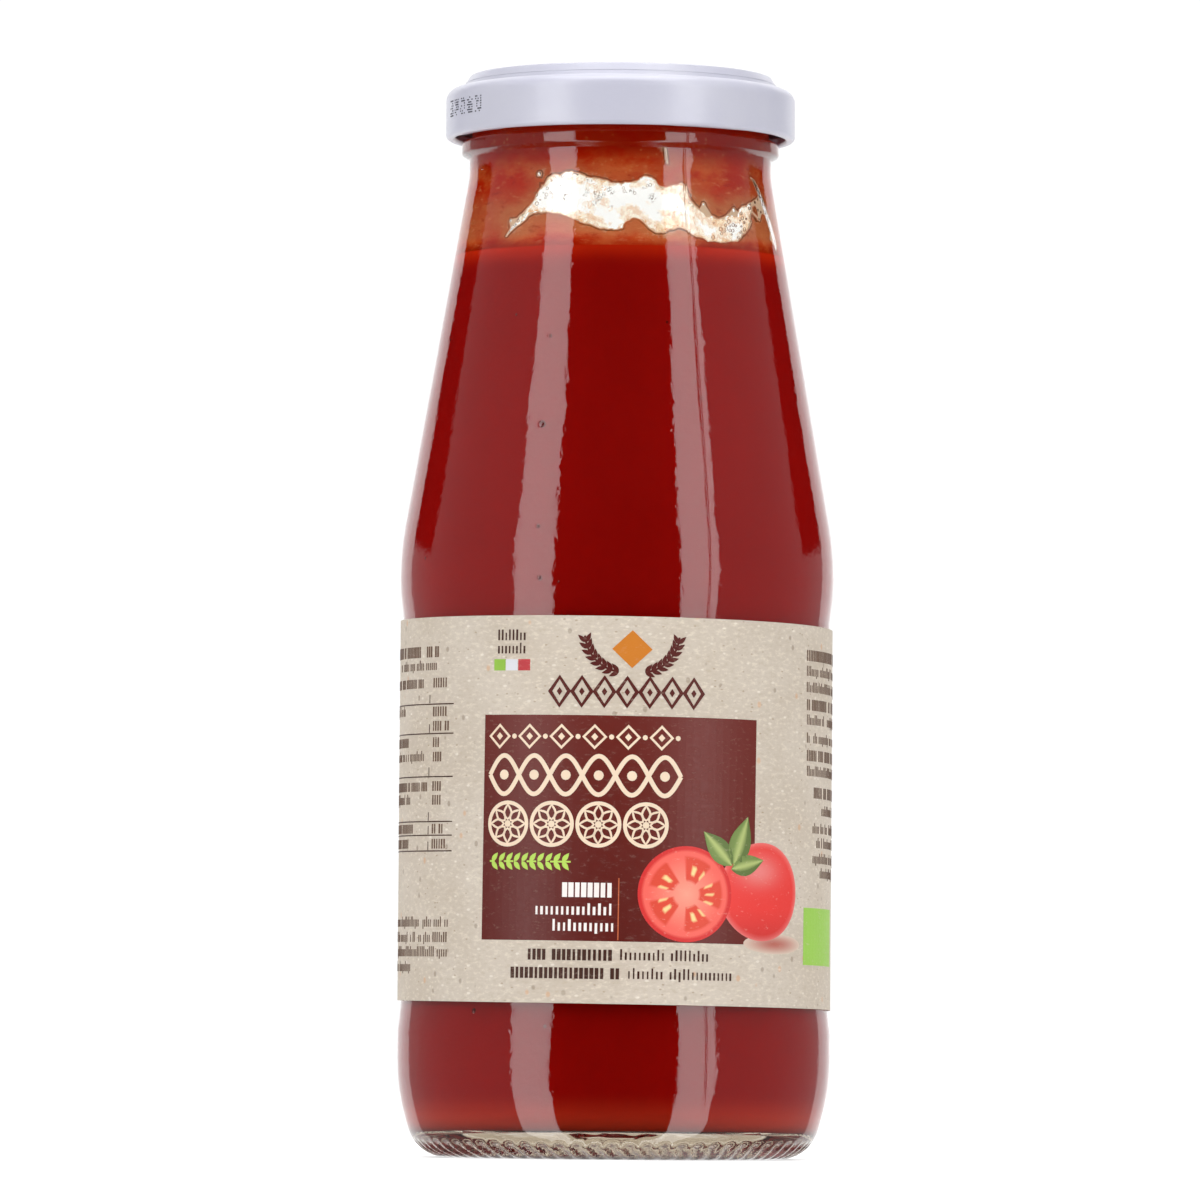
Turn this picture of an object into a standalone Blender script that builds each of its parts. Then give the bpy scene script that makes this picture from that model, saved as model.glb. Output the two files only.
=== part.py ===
"""Glass bottle of passata with a twist-off lug cap and a paper label wrapped round its body.

Four pieces, one object each: bottle, passata, cap and label. Metres, +Z up, with the origin at
the centre of the base. The front of the label faces -Y. Angles round the bottle are measured
from the front and grow towards +X.
"""

import math

import bmesh
import bpy
from mathutils import Matrix, Vector

MM = 0.001
DEG = math.radians(1)

# Driving sizes
TOTAL_HEIGHT = 175.0 * MM
BODY_RADIUS = 34.95 * MM
WALL = 2.2 * MM
PIECE_GAP = 0.3 * MM
SIDES = 56
ARC_STEP = 26 * DEG
MERGE = 0.001 * MM

# Heel and base of the glass
BEARING_INNER_RADIUS = 25.4 * MM
HEEL_CORNER_RADIUS = 31.82 * MM
HEEL_TURN = 6.6 * MM
HEEL_TOP = 10.9 * MM
HEEL_SWELL = 36.0 * MM
PUNT_RADIUS = 15.0 * MM
PUNT_RISE = 3.2 * MM
PUNT_TURN = 12.0 * MM
FLOOR_EDGE = 4.3 * MM
FLOOR_MIDDLE = 6.6 * MM
FLOOR_TURN = 8.5 * MM

# Sunk panel that takes the label, and the shoulder above it
PANEL_RADIUS = 34.5 * MM
PANEL_LOW = 22.8 * MM
PANEL_HIGH = 86.6 * MM
PANEL_STEP = 2.4 * MM
SHOULDER_RADIUS = 35.12 * MM
SHOULDER_START = 91.8 * MM
SHOULDER_CORNER = 97.67 * MM
SHOULDER_TURN = 50.0 * MM

# Long cone of the neck, the bead under the cap and the finish inside the cap
NECK_RADIUS = 24.5 * MM
NECK_CORNER = 158.7 * MM
NECK_TURN = 12.0 * MM
BEAD_RADIUS = 25.75 * MM
BEAD_FOOT = 161.4 * MM
BEAD_LOW = 162.3 * MM
BEAD_HIGH = 164.2 * MM
BEAD_TURN = 0.8 * MM
FINISH_RADIUS = 24.2 * MM
FINISH_FOOT = 164.5 * MM
MOUTH_RADIUS = 22.2 * MM
RIM_HEIGHT = 173.4 * MM
RIM_TURN = 0.95 * MM
THREAD_DEPTH = 1.3 * MM
THREAD_ROWS = (166.7 * MM, 167.3 * MM, 168.3 * MM, 168.9 * MM)
THREAD_LEAD = 1.6 * MM
THREAD_SPAN = 56 * DEG

# Passata, and the film of it that clings to the neck above the level
FILL_LEVEL = 145.5 * MM
FILM = 1.0 * MM
FILM_ROWS = (147.2 * MM, 156.0 * MM, 159.3 * MM, 170.5 * MM)
MENISCUS = 0.4 * MM

# Bare glass in the film: angle from the front, lower edge and upper edge
FRONT_WINDOW = (
    (-45 * DEG, 147.6 * MM, 149.0 * MM),
    (-34 * DEG, 150.6 * MM, 152.8 * MM),
    (-23 * DEG, 150.4 * MM, 158.4 * MM),
    (0 * DEG, 148.3 * MM, 155.4 * MM),
    (12 * DEG, 148.6 * MM, 156.3 * MM),
    (23 * DEG, 148.5 * MM, 155.6 * MM),
    (35 * DEG, 146.4 * MM, 151.2 * MM),
    (56 * DEG, 148.6 * MM, 153.2 * MM),
)
REAR_WINDOW = (
    (118 * DEG, 152.0 * MM, 154.5 * MM),
    (140 * DEG, 149.5 * MM, 158.4 * MM),
    (180 * DEG, 150.2 * MM, 158.6 * MM),
    (215 * DEG, 149.0 * MM, 158.2 * MM),
    (240 * DEG, 151.5 * MM, 154.0 * MM),
)

# Pressed steel cap
CAP_RADIUS = 28.3 * MM
CAP_SHEET = 0.4 * MM
CAP_LOW = 164.7 * MM
CAP_SHOULDER = 172.9 * MM
CAP_SHOULDER_TURN = 2.0 * MM
CURL_INNER_RADIUS = 26.7 * MM
CURL_HEIGHT = 1.5 * MM
CURL_TURN = 0.75 * MM
RING_RADIUS = 24.4 * MM
RING_FOOT_RADIUS = 25.6 * MM
RING_INNER_RADIUS = 22.6 * MM
RING_TURN = 0.5 * MM
PANEL_DROP = 0.8 * MM
LINER_HEIGHT = 173.75 * MM
BUTTON_RADIUS = 11.5 * MM
BUTTON_DROP = 0.3 * MM
BUTTON_SLOPE = 2.0 * MM
LUG_COUNT = 4
LUG_ANGLE = 31 * DEG
LUG_HALF_WIDTH = 11 * DEG
LUG_DEPTH = 1.5 * MM

# Paper label
LABEL_RADIUS = 34.94 * MM
LABEL_THICKNESS = 0.18 * MM
LABEL_LOW = 24.64 * MM
LABEL_HIGH = 85.9 * MM
LABEL_SKEW = 0.6 * DEG
LABEL_GAP = 9.0 * MM
LABEL_COLUMNS = 60

FRONT = -90 * DEG


def clear_scene():
    """Removes whatever the scene holds."""
    for item in list(bpy.data.objects):
        bpy.data.objects.remove(item, do_unlink=True)


def finish(name, colour, roughness, metallic=0.0, transmission=0.0):
    """A Principled material of one colour, red, green and blue."""
    made = bpy.data.materials.new(name)
    made.use_nodes = True
    shader = made.node_tree.nodes["Principled BSDF"]
    shader.inputs["Base Color"].default_value = (*colour, 1.0)
    shader.inputs["Roughness"].default_value = roughness
    shader.inputs["Metallic"].default_value = metallic
    shader.inputs["Transmission Weight"].default_value = transmission
    made.diffuse_color = (*colour, 1.0)
    return made


def rounded(corners):
    """Points of a chain of straight lines through corners (r, z, turn), each corner an arc of radius turn."""
    points = []
    for before, corner, after in zip([None, *corners], corners, [*corners[1:], None]):
        here = Vector(corner[:2])
        turn = corner[2]
        if before is None or after is None or turn == 0:
            points.append(tuple(here))
            continue
        back = (Vector(before[:2]) - here).normalized()
        ahead = (Vector(after[:2]) - here).normalized()
        half = back.angle(ahead) / 2
        centre = here + (back + ahead).normalized() * (turn / math.sin(half))
        start = here + back * (turn / math.tan(half)) - centre
        bend = math.pi - 2 * half
        side = 1 if back.cross(ahead) < 0 else -1
        steps = max(1, round(bend / ARC_STEP))
        for step in range(steps + 1):
            spoke = Matrix.Rotation(side * bend * step / steps, 2) @ start
            points.append(tuple(centre + spoke))
    return points


def cone_radius(height):
    """Outer radius of the straight cone between the shoulder's corner and the neck's."""
    share = (height - SHOULDER_CORNER) / (NECK_CORNER - SHOULDER_CORNER)
    return SHOULDER_RADIUS + (NECK_RADIUS - SHOULDER_RADIUS) * share


def cone_height(radius):
    """Height at which the cone has this outer radius."""
    share = (radius - SHOULDER_RADIUS) / (NECK_RADIUS - SHOULDER_RADIUS)
    return SHOULDER_CORNER + (NECK_CORNER - SHOULDER_CORNER) * share


def cavity(inset):
    """Corners of the glass's inner side, from the mouth down to the middle of the floor, moved in by inset."""
    mouth = MOUTH_RADIUS - inset
    body = PANEL_RADIUS - WALL - inset
    return [
        (mouth, cone_height(mouth + WALL + inset), NECK_TURN),
        (body, cone_height(body + WALL + inset), SHOULDER_TURN),
        (body, FLOOR_EDGE + inset, FLOOR_TURN),
        (PUNT_RADIUS, FLOOR_MIDDLE + inset, PUNT_TURN),
        (0, FLOOR_MIDDLE + inset, 0),
    ]


def bearing_angle(point):
    """Angle of a point round the axis, measured from the front."""
    return math.atan2(point.y, point.x) - FRONT


def angle_between(first, second):
    """Size of the smaller angle between two directions round the axis."""
    return abs(math.remainder(first - second, math.tau))


def new_object(name, bm, material):
    """The finished bmesh as an object, faces outward and shaded smooth between its edges."""
    bmesh.ops.recalc_face_normals(bm, faces=bm.faces)
    mesh = bpy.data.meshes.new(name)
    bm.to_mesh(mesh)
    bm.free()
    mesh.shade_smooth()
    mesh.set_sharp_from_angle(angle=35 * DEG)
    mesh.materials.append(material)
    made = bpy.data.objects.new(name, mesh)
    bpy.context.collection.objects.link(made)
    return made


def spin_profile(points):
    """A closed round shape from a profile (r, z) that starts and ends on the axis."""
    bm = bmesh.new()
    start = Matrix.Rotation(FRONT, 3, "Z")
    verts = [bm.verts.new(start @ Vector((r, 0, z))) for r, z in points]
    edges = [bm.edges.new(pair) for pair in zip(verts, verts[1:])]
    bmesh.ops.spin(
        bm,
        geom=verts + edges,
        axis=(0, 0, 1),
        cent=(0, 0, 0),
        angle=math.tau,
        steps=SIDES,
        use_merge=True,
    )
    bmesh.ops.remove_doubles(bm, verts=bm.verts, dist=MERGE)
    return bm


def move_radius(vert, distance):
    """Moves a point away from the axis, or towards it."""
    flat = Vector((vert.co.x, vert.co.y, 0)).normalized()
    vert.co += flat * distance


def hold(angle, middle, half_width):
    """1 within half_width of the middle angle, easing to 0 over the next half of that width."""
    beyond = angle_between(angle, middle) - half_width
    share = min(1.0, max(0.0, beyond / (half_width / 2)))
    return 1 - share * share * (3 - 2 * share)


def make_bottle():
    """Open-mouthed glass: heel and punt, sunk label panel, long cone, bead, and a finish with lug threads."""
    bearing_low = [
        (0, PUNT_RISE, 0),
        (PUNT_RADIUS, PUNT_RISE, PUNT_TURN),
        (BEARING_INNER_RADIUS, 0, 0),
    ]
    heel_and_panel = [
        (HEEL_CORNER_RADIUS, 0, HEEL_TURN),
        (BODY_RADIUS, HEEL_TOP, HEEL_SWELL),
        (BODY_RADIUS, PANEL_LOW - PANEL_STEP, 0),
        (PANEL_RADIUS, PANEL_LOW, 0),
        (PANEL_RADIUS, PANEL_HIGH, 0),
        (SHOULDER_RADIUS, SHOULDER_START, 0),
    ]
    cone_and_bead = [
        (SHOULDER_RADIUS, SHOULDER_CORNER, SHOULDER_TURN),
        (NECK_RADIUS, NECK_CORNER, NECK_TURN),
        (NECK_RADIUS, BEAD_FOOT, 0),
        (BEAD_RADIUS, BEAD_LOW, BEAD_TURN),
        (BEAD_RADIUS, BEAD_HIGH, BEAD_TURN),
        (FINISH_RADIUS, FINISH_FOOT, 0),
    ]
    threads = [(FINISH_RADIUS, height, 0) for height in THREAD_ROWS]
    rim = [
        (FINISH_RADIUS, RIM_HEIGHT, RIM_TURN),
        (MOUTH_RADIUS, RIM_HEIGHT, RIM_TURN),
    ]
    corners = bearing_low + heel_and_panel + cone_and_bead + threads + rim + cavity(0)
    bm = spin_profile(rounded(corners))
    crest = THREAD_ROWS[1:3]
    for vert in bm.verts:
        radius = math.hypot(vert.co.x, vert.co.y)
        on_wall = abs(radius - FINISH_RADIUS) < MERGE
        if not on_wall or not THREAD_ROWS[0] - MERGE < vert.co.z < THREAD_ROWS[3] + MERGE:
            continue
        height = vert.co.z
        nearest = min(
            (lug_angle(k) for k in range(LUG_COUNT)),
            key=lambda middle: angle_between(bearing_angle(vert.co), middle),
        )
        turned = math.remainder(bearing_angle(vert.co) - nearest, math.tau)
        vert.co.z += THREAD_LEAD * turned / math.tau * LUG_COUNT
        if crest[0] - MERGE < height < crest[1] + MERGE:
            move_radius(vert, THREAD_DEPTH * hold(turned, 0, THREAD_SPAN / 2))
    glass = finish("clear_glass", (0.92, 0.97, 0.94), 0.02, transmission=1.0)
    return new_object("bottle", bm, glass)


def lug_angle(number):
    """Angle from the front of one of the cap's lugs."""
    return LUG_ANGLE + math.tau * number / LUG_COUNT


def window_edges(outline, angle):
    """Lower and upper edge of a window at an angle, or None beside it."""
    for (a, low_a, high_a), (b, low_b, high_b) in zip(outline, outline[1:]):
        if a <= angle <= b:
            share = (angle - a) / (b - a)
            return low_a + (low_b - low_a) * share, high_a + (high_b - high_a) * share
    return None


def edges_at(angle):
    """Lower and upper edge of the bare glass at an angle from the front, or None where the film is whole."""
    for outline in (FRONT_WINDOW, REAR_WINDOW):
        for turn in (0, math.tau, -math.tau):
            found = window_edges(outline, angle + turn)
            if found:
                return found
    return None


def film_radius(height, inset):
    """Radius of the cavity's wall at a height in the neck, moved in by inset."""
    return max(MOUTH_RADIUS, cone_radius(height) - WALL) - inset


def make_passata():
    """The filling up to its level, with the film left on the neck's wall and the bare glass in that film."""
    level_radius = film_radius(FILL_LEVEL, PIECE_GAP + FILM)
    film_side = [(film_radius(z, PIECE_GAP), z) for z in reversed(FILM_ROWS)]
    film_face = [(film_radius(z, PIECE_GAP + FILM), z) for z in FILM_ROWS]
    below = rounded(
        [(film_radius(FILL_LEVEL, PIECE_GAP), FILL_LEVEL, 0), *cavity(PIECE_GAP)[1:]]
    )
    surface = [
        (0, FILL_LEVEL - MENISCUS),
        (level_radius - 2 * MENISCUS, FILL_LEVEL - MENISCUS),
        (level_radius, FILL_LEVEL),
    ]
    bm = spin_profile(surface + film_face + film_side + below)
    low_row = FILM_ROWS[0]
    high_row = FILM_ROWS[1]
    middle = (low_row + high_row) / 2
    bare = [
        face
        for face in bm.faces
        if abs(face.calc_center_median().z - middle) < (high_row - low_row) / 4
        and all(edges_at(bearing_angle(vert.co)) for vert in face.verts)
    ]
    for vert in bm.verts:
        edges = edges_at(bearing_angle(vert.co))
        on_low = abs(vert.co.z - low_row) < MERGE
        on_high = abs(vert.co.z - high_row) < MERGE
        if edges and (on_low or on_high):
            height = edges[0] if on_low else edges[1]
            change = film_radius(height, 0) - film_radius(vert.co.z, 0)
            move_radius(vert, change)
            vert.co.z = height
    bmesh.ops.delete(bm, geom=bare, context="FACES")
    for front in (True, False):
        open_edges = [
            edge
            for edge in bm.edges
            if edge.is_boundary and (edge.verts[0].co.y < 0) == front
        ]
        bmesh.ops.bridge_loops(bm, edges=open_edges)
    red = finish("passata_red", (0.42, 0.03, 0.01), 0.35)
    return new_object("passata", bm, red)


def make_cap():
    """Twist-off lug cap: raised ring over the rim, sunk middle with a round button, curled skirt and inward lugs."""
    panel = TOTAL_HEIGHT - PANEL_DROP
    curl_top = CAP_LOW + CURL_HEIGHT
    skirt_inside = CAP_RADIUS - CAP_SHEET
    outside = [
        (0, panel - BUTTON_DROP, 0),
        (BUTTON_RADIUS - BUTTON_SLOPE, panel - BUTTON_DROP, 0),
        (BUTTON_RADIUS, panel, 0),
        (RING_INNER_RADIUS, panel, 0),
        (RING_INNER_RADIUS + RING_TURN, TOTAL_HEIGHT, 0),
        (RING_RADIUS, TOTAL_HEIGHT, RING_TURN),
        (RING_FOOT_RADIUS, CAP_SHOULDER, RING_TURN),
        (CAP_RADIUS, CAP_SHOULDER, CAP_SHOULDER_TURN),
    ]
    curl = [
        (CAP_RADIUS, CAP_LOW, CURL_TURN),
        (CURL_INNER_RADIUS, CAP_LOW, CURL_TURN * 0.8),
        (CURL_INNER_RADIUS, curl_top, 0),
        (skirt_inside, curl_top, 0),
    ]
    inside = [
        (skirt_inside, CAP_SHOULDER - CAP_SHEET, CAP_SHOULDER_TURN - CAP_SHEET),
        (RING_FOOT_RADIUS - CAP_SHEET, CAP_SHOULDER - CAP_SHEET, 0),
        (RING_FOOT_RADIUS - CAP_SHEET, LINER_HEIGHT, 0),
        (BUTTON_RADIUS, LINER_HEIGHT, 0),
        (BUTTON_RADIUS - BUTTON_SLOPE, LINER_HEIGHT - BUTTON_DROP, 0),
        (0, LINER_HEIGHT - BUTTON_DROP, 0),
    ]
    bm = spin_profile(rounded(outside + curl + inside))
    for vert in bm.verts:
        radius = math.hypot(vert.co.x, vert.co.y)
        in_curl = vert.co.z < curl_top + MERGE and radius < CURL_INNER_RADIUS + MERGE
        if in_curl:
            angle = bearing_angle(vert.co)
            pull = max(hold(angle, lug_angle(k), LUG_HALF_WIDTH) for k in range(LUG_COUNT))
            move_radius(vert, -LUG_DEPTH * pull)
    enamel = finish("cap_enamel", (0.6, 0.6, 0.68), 0.3)
    return new_object("cap", bm, enamel)


def make_label():
    """Paper strip round the sunk panel, slightly askew, its two ends apart at the back."""
    bm = bmesh.new()
    half = math.pi - LABEL_GAP / LABEL_RADIUS / 2
    inner = LABEL_RADIUS - LABEL_THICKNESS
    section = (
        (LABEL_RADIUS, LABEL_LOW),
        (LABEL_RADIUS, LABEL_HIGH),
        (inner, LABEL_HIGH),
        (inner, LABEL_LOW),
    )
    columns = []
    for column in range(LABEL_COLUMNS + 1):
        angle = half * (2 * column / LABEL_COLUMNS - 1)
        sink = LABEL_RADIUS * angle * math.tan(LABEL_SKEW)
        turn = Matrix.Rotation(FRONT + angle, 3, "Z")
        ring = [bm.verts.new(turn @ Vector((r, 0, z - sink))) for r, z in section]
        columns.append(ring)
    for left, right in zip(columns, columns[1:]):
        for side in range(len(section)):
            following = (side + 1) % len(section)
            bm.faces.new((left[side], right[side], right[following], left[following]))
    bm.faces.new(columns[0])
    bm.faces.new(columns[-1])
    paper = finish("kraft_paper", (0.63, 0.55, 0.45), 0.8)
    return new_object("label", bm, paper)


clear_scene()
make_bottle()
make_passata()
make_cap()
make_label()
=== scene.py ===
"""Looks of a passata bottle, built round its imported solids.

Clear turned glass, the filling with the film that clings to the neck, a pressed steel cap and a kraft paper label
with printed ornaments. Heights and radii are in millimetres, angles are measured from the front.
"""

import math
import random

import bpy
import bmesh
import numpy as np
from mathutils import Matrix, Vector, noise
from mathutils.geometry import delaunay_2d_cdt


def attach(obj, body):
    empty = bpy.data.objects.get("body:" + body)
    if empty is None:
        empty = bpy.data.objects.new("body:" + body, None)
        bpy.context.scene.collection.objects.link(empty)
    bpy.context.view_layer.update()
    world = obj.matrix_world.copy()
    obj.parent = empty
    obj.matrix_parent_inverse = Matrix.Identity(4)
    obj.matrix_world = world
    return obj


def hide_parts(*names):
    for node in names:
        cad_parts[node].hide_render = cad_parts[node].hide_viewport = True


bl_info = {
    "name": "Passata Bottle Looks",
    "version": (1, 0, 0),
    "blender": (4, 5, 0),
    "location": "View3D > Sidebar > Bottle",
    "description": "Builds the glass, filling, cap and label round the packed solids",
    "category": "Object",
}

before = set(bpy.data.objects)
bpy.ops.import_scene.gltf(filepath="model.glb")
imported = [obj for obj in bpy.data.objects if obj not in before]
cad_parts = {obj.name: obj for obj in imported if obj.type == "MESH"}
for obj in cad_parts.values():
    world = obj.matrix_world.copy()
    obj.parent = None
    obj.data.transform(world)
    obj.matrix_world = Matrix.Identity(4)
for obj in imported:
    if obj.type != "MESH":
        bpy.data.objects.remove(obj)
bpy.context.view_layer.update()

MM = 0.001
DEG = math.pi / 180
WELD = 1e-6
LIGHT_BOUNCES = 18

# Glass
GLASS_IOR = 1.5
WALL = 2.2
BASE_RISE = 3.2
BASE_FLAT = 15
FOOT_RADIUS = 25.4
HEEL_RADIUS = 31.82
HEEL_TURN = 6.6
BODY_RADIUS = 34.95
RECESS_RADIUS = 34.5
SHOULDER_RADIUS = 35.12
SHOULDER_CORNER = 97.67
NECK_RADIUS = 24.5
NECK_CORNER = 158.7
BEAD_RADIUS = 25.75
FINISH_RADIUS = 24.2
MOUTH_RADIUS = 22.2
RIM_HEIGHT = 173.4
BODY_INSIDE = 32.3
FLOOR_EDGE = 4.3
FLOOR_MIDDLE = 6.6
FLOOR_TURN = 3.2
ARC_STEP = 7 * DEG
ROW_STEP = 3.0
INNER_ROW_STEP = 12.0
CREST_FOOT = 0.15
CREST_HEIGHT = 2.5
CREST_LEAN = 0.62
CREST_BOW = 0.34
CREST_REACH = 25
SEAM_START = 8

# Air bubbles in the glass: angle in degrees, height, radius
BLISTER_DEPTH = 1.2
BLISTER_STRETCH = 1.25
BLISTER_SHOWS = 0.24
BLISTER_RELIEF = 2.2
SEAM_RELIEF = 1.3
BLISTERS = (
    (-22.5, 130.8, 0.30),
    (-22.9, 116.6, 0.52),
    (-21.8, 100.2, 0.32),
    (-20.9, 92.0, 0.36),
    (-15.7, 91.4, 0.18),
    (15.7, 133.1, 0.20),
    (-36.0, 134.5, 0.20),
    (-70.0, 131.3, 0.24),
    (79.0, 116.4, 0.26),
    (-62.8, 95.8, 0.22),
    (-40.5, 23.4, 0.38),
    (-18.6, 21.0, 0.28),
    (118.0, 120.5, 0.34),
    (152.0, 104.0, 0.26),
    (-128.0, 128.5, 0.3),
    (-160.0, 98.0, 0.4),
    (175.0, 18.5, 0.3),
)

# Heights between which a colour or a relief of the glass sets in
GRAIN_SPAN = (7.0, 11.0)
SEAM_SPAN = (8.0, 12.0)
TINT_SPAN = (5.4, 3.6)
# Painted contact shadow: the glass turns nearly black below these heights, where it stands on the table
CONTACT_SHADOW_SPAN = (0.8, 0.3)

# Filling
FILL_SIDES = 256
SINK = 0.06
MENISCUS = 0.4
DRY_RADIUS = 30.0
FLOOR_GAP = 0.15
FILM_FOOT = 144.6
FILM_TOP = 171.0
FILM_THIN = 0.12
FILM_THICK = 0.9
FILM_GRID = 1.3
FILM_ROUND = 24.0
STAIN_GRID = 0.8
STAIN_THICK = 0.05
BUBBLE_SEED = 7
TEAR_SEED = 4
GRID_SEED = 3
STAIN_SEED = 5

# Heights between which a colour of the filling or its film sets in
# Painted light: the filling is painted brighter towards the heel, where it turns down and gets less light
HEEL_LIGHT_SPAN = (11.0, 5.0)
EDGE_SPAN = (140.2, 145.8)
BELT_LOW_SPAN = (146.4, 148.2)
BELT_HIGH_SPAN = (156.5, 151.5)
# Painted shade: the film darkens towards the cap, in the cap's shade
CAP_SHADE_SPAN = (158.0, 162.2)
SPECK_SPAN = (144.0, 146.5)
SMEAR_SPAN = (160.0, 156.0)
MEET_SPAN = (147.5, 145.0)

# Bare glass in the film: angle in degrees and height along its lower and upper edge
WINDOW_LOW = (
    (-46, 147.8),
    (-40, 149.4),
    (-34, 151.1),
    (-22, 150.4),
    (-9, 148.6),
    (0, 148.3),
    (5, 150.0),
    (14, 147.9),
    (22, 148.7),
    (30, 147.3),
    (37, 146.6),
    (49, 147.3),
    (56, 149.6),
)
WINDOW_HIGH = (
    (59, 153.4),
    (52, 152.2),
    (47, 150.9),
    (35, 150.6),
    (28, 153.2),
    (25, 155.4),
    (17, 154.9),
    (11, 156.4),
    (1, 155.2),
    (-9, 156.2),
    (-17, 157.1),
    (-24, 157.3),
    (-29, 156.5),
    (-36, 152.4),
)
STREAK = (
    (62, 157.6),
    (64, 157.0),
    (69, 152.5),
    (74, 147.6),
    (76, 146.4),
    (77, 148.5),
    (71, 153.6),
    (66, 156.9),
)
NICK = ((17.9, 161.4), (18.2, 161.4), (19.1, 159.0), (18.8, 159.0))
REAR_LOW = (
    (101, 152.0),
    (118, 149.6),
    (135, 149.0),
    (160, 150.4),
    (183, 149.0),
    (205, 150.2),
    (225, 148.6),
    (242, 151.0),
)
REAR_HIGH = (
    (240, 158.0),
    (220, 162.2),
    (200, 163.4),
    (180, 162.8),
    (155, 163.8),
    (135, 161.5),
    (118, 158.6),
    (103, 155.4),
)

# Clusters of bubbles: angle, height, spread round and up, count, smallest and largest radius
BUBBLE_CLUSTERS = (
    (44.0, 149.0, 3.0, 1.3, 26, 0.12, 0.40),
    (52.0, 150.6, 2.2, 1.5, 18, 0.12, 0.42),
    (59.0, 152.6, 2.0, 1.4, 10, 0.14, 0.36),
    (66.0, 153.5, 1.8, 2.0, 10, 0.12, 0.32),
    (-30.0, 154.3, 1.6, 1.6, 14, 0.12, 0.36),
    (-23.0, 156.4, 2.0, 0.6, 8, 0.12, 0.30),
    (20.0, 151.2, 2.6, 1.2, 8, 0.10, 0.28),
    (8.0, 154.6, 2.2, 0.8, 8, 0.10, 0.28),
    (190.0, 157.0, 6.0, 2.4, 22, 0.15, 0.5),
    (228.0, 153.0, 3.0, 2.4, 14, 0.15, 0.4),
    (-33.5, 154.2, 0.9, 2.2, 9, 0.16, 0.42),
    (-41.0, 149.9, 1.6, 0.9, 8, 0.12, 0.3),
    (-27.0, 156.4, 1.3, 0.6, 6, 0.14, 0.3),
    (31.0, 152.6, 1.6, 1.0, 8, 0.14, 0.36),
    (72.0, 150.0, 0.8, 2.6, 14, 0.14, 0.36),
    (49.0, 148.6, 2.0, 0.9, 10, 0.2, 0.5),
)

# Cap
CAP_SIDES = 360
CAP_RADIUS = 28.3
CAP_SHEET = 0.4
CAP_LOW = 164.7
CAP_SHOULDER = 172.9
CURL_TOP = 166.2
CURL_INNER_RADIUS = 26.7
CURL_WIDTH = 0.65
CAP_TOP = 175.0
CAP_PANEL = 174.2
LUG_COUNT = 4
LUG_ANGLE = 31 * DEG
LUG_HALF_WIDTH = 11 * DEG
LUG_DEPTH = 1.5
CODE_COUNT = 5
CODE_START = -76
CODE_PITCH = 2.5
CODE_WIDTH = 1.75
CODE_HEIGHTS = (167.6, 170.4)
CODE_LINES = 7
CODE_GAPS = 0.42

# Label paper, and where its print lies: across is the arc to the right of the middle, up is the height
LABEL_RADIUS = 34.94
LABEL_BACK_RADIUS = 34.62
LABEL_LOW = 24.64
LABEL_HIGH = 85.9
LABEL_SKEW = math.tan(0.6 * DEG)
LABEL_LEVEL = 55.27
LABEL_GAP = 9.0
LABEL_COLUMNS = 220
LABEL_ROWS = 8
INK_SINK = 0.014
INK_LIFT = 0.045
INK_GRID = 1.3
PANEL = (-22.4, 24.0, 34.5, 70.15)
SQUARE = (36.5, 50.5, 31.6, 40.75)
PANEL_RULE = (0.62, 0.8, 34.7, 44.5)
CHIP_WIDTH = 2.1
CHIP_HEIGHTS = (77.15, 78.95)
CHIPS = ((-20.8, (140, 182, 70)), (-18.6, (212, 212, 218)), (-16.4, (180, 58, 64)))
BAR_FIELD = (67.0, 97.0, 60.0, 79.0)
BARS = (69.5, 94.5, 61.5, 77.5)

# Leaves of the picture: foot across and up, turn, length
PICTURE_LEAVES = ((19.6, 46.9, 2.35, 7.4), (19.9, 46.9, 1.25, 8.2), (19.4, 46.3, 0.25, 6.6))

# Small print is ticks: height, cell width, tick width and share of tall ticks in each style
TICK_STYLES = {
    "bold": (1.75, 0.64, 0.38, 0.0),
    "plain": (1.15, 0.58, 0.24, 0.35),
    "figures": (1.55, 0.66, 0.3, 0.0),
    "narrow": (1.45, 0.52, 0.24, 0.0),
    "large": (2.3, 1.02, 0.66, 0.0),
    "medium": (1.3, 0.85, 0.36, 0.3),
    "heavy": (1.75, 0.82, 0.5, 0.0),
    "light": (1.2, 0.74, 0.27, 0.3),
    "close": (1.2, 0.66, 0.26, 0.3),
    "back": (1.25, 0.58, 0.25, 0.3),
    "bars": (15.5, 0.52, 0.3, 0.0),
    "dots": (0.2, 0.35, 0.25, 0.0),
}

# Blocks of ticks: name, box (left, right, low, high), lines, style, seed, share of gaps, raggedness
WHITE_BLOCKS = (
    ("print_white_0", (-8.4, -0.2, 41.2, 43.9), 1, "large", 11, 0.0, 0.0),
    ("print_white_1", (-12.9, -0.2, 38.0, 40.5), 1, "medium", 12, 0.0, 0.0),
    ("print_white_2", (-10.0, -0.2, 35.5, 37.9), 1, "medium", 13, 0.0, 0.0),
)
BROWN_BLOCKS = (
    ("print_foot_1", (-14.0, 0.1, 31.2, 33.4), 1, "heavy", 21, 0.1, 0.0),
    ("print_foot_2", (0.9, 16.0, 31.2, 33.2), 1, "light", 22, 0.1, 0.0),
    ("print_foot_3", (-16.9, 1.4, 28.2, 30.6), 1, "heavy", 23, 0.12, 0.0),
    ("print_foot_4", (2.2, 19.7, 28.2, 30.3), 1, "light", 24, 0.1, 0.0),
    ("print_chip_words", (-20.3, -14.8, 79.4, 83.6), 2, "close", 25, 0.0, 0.0),
)
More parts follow.
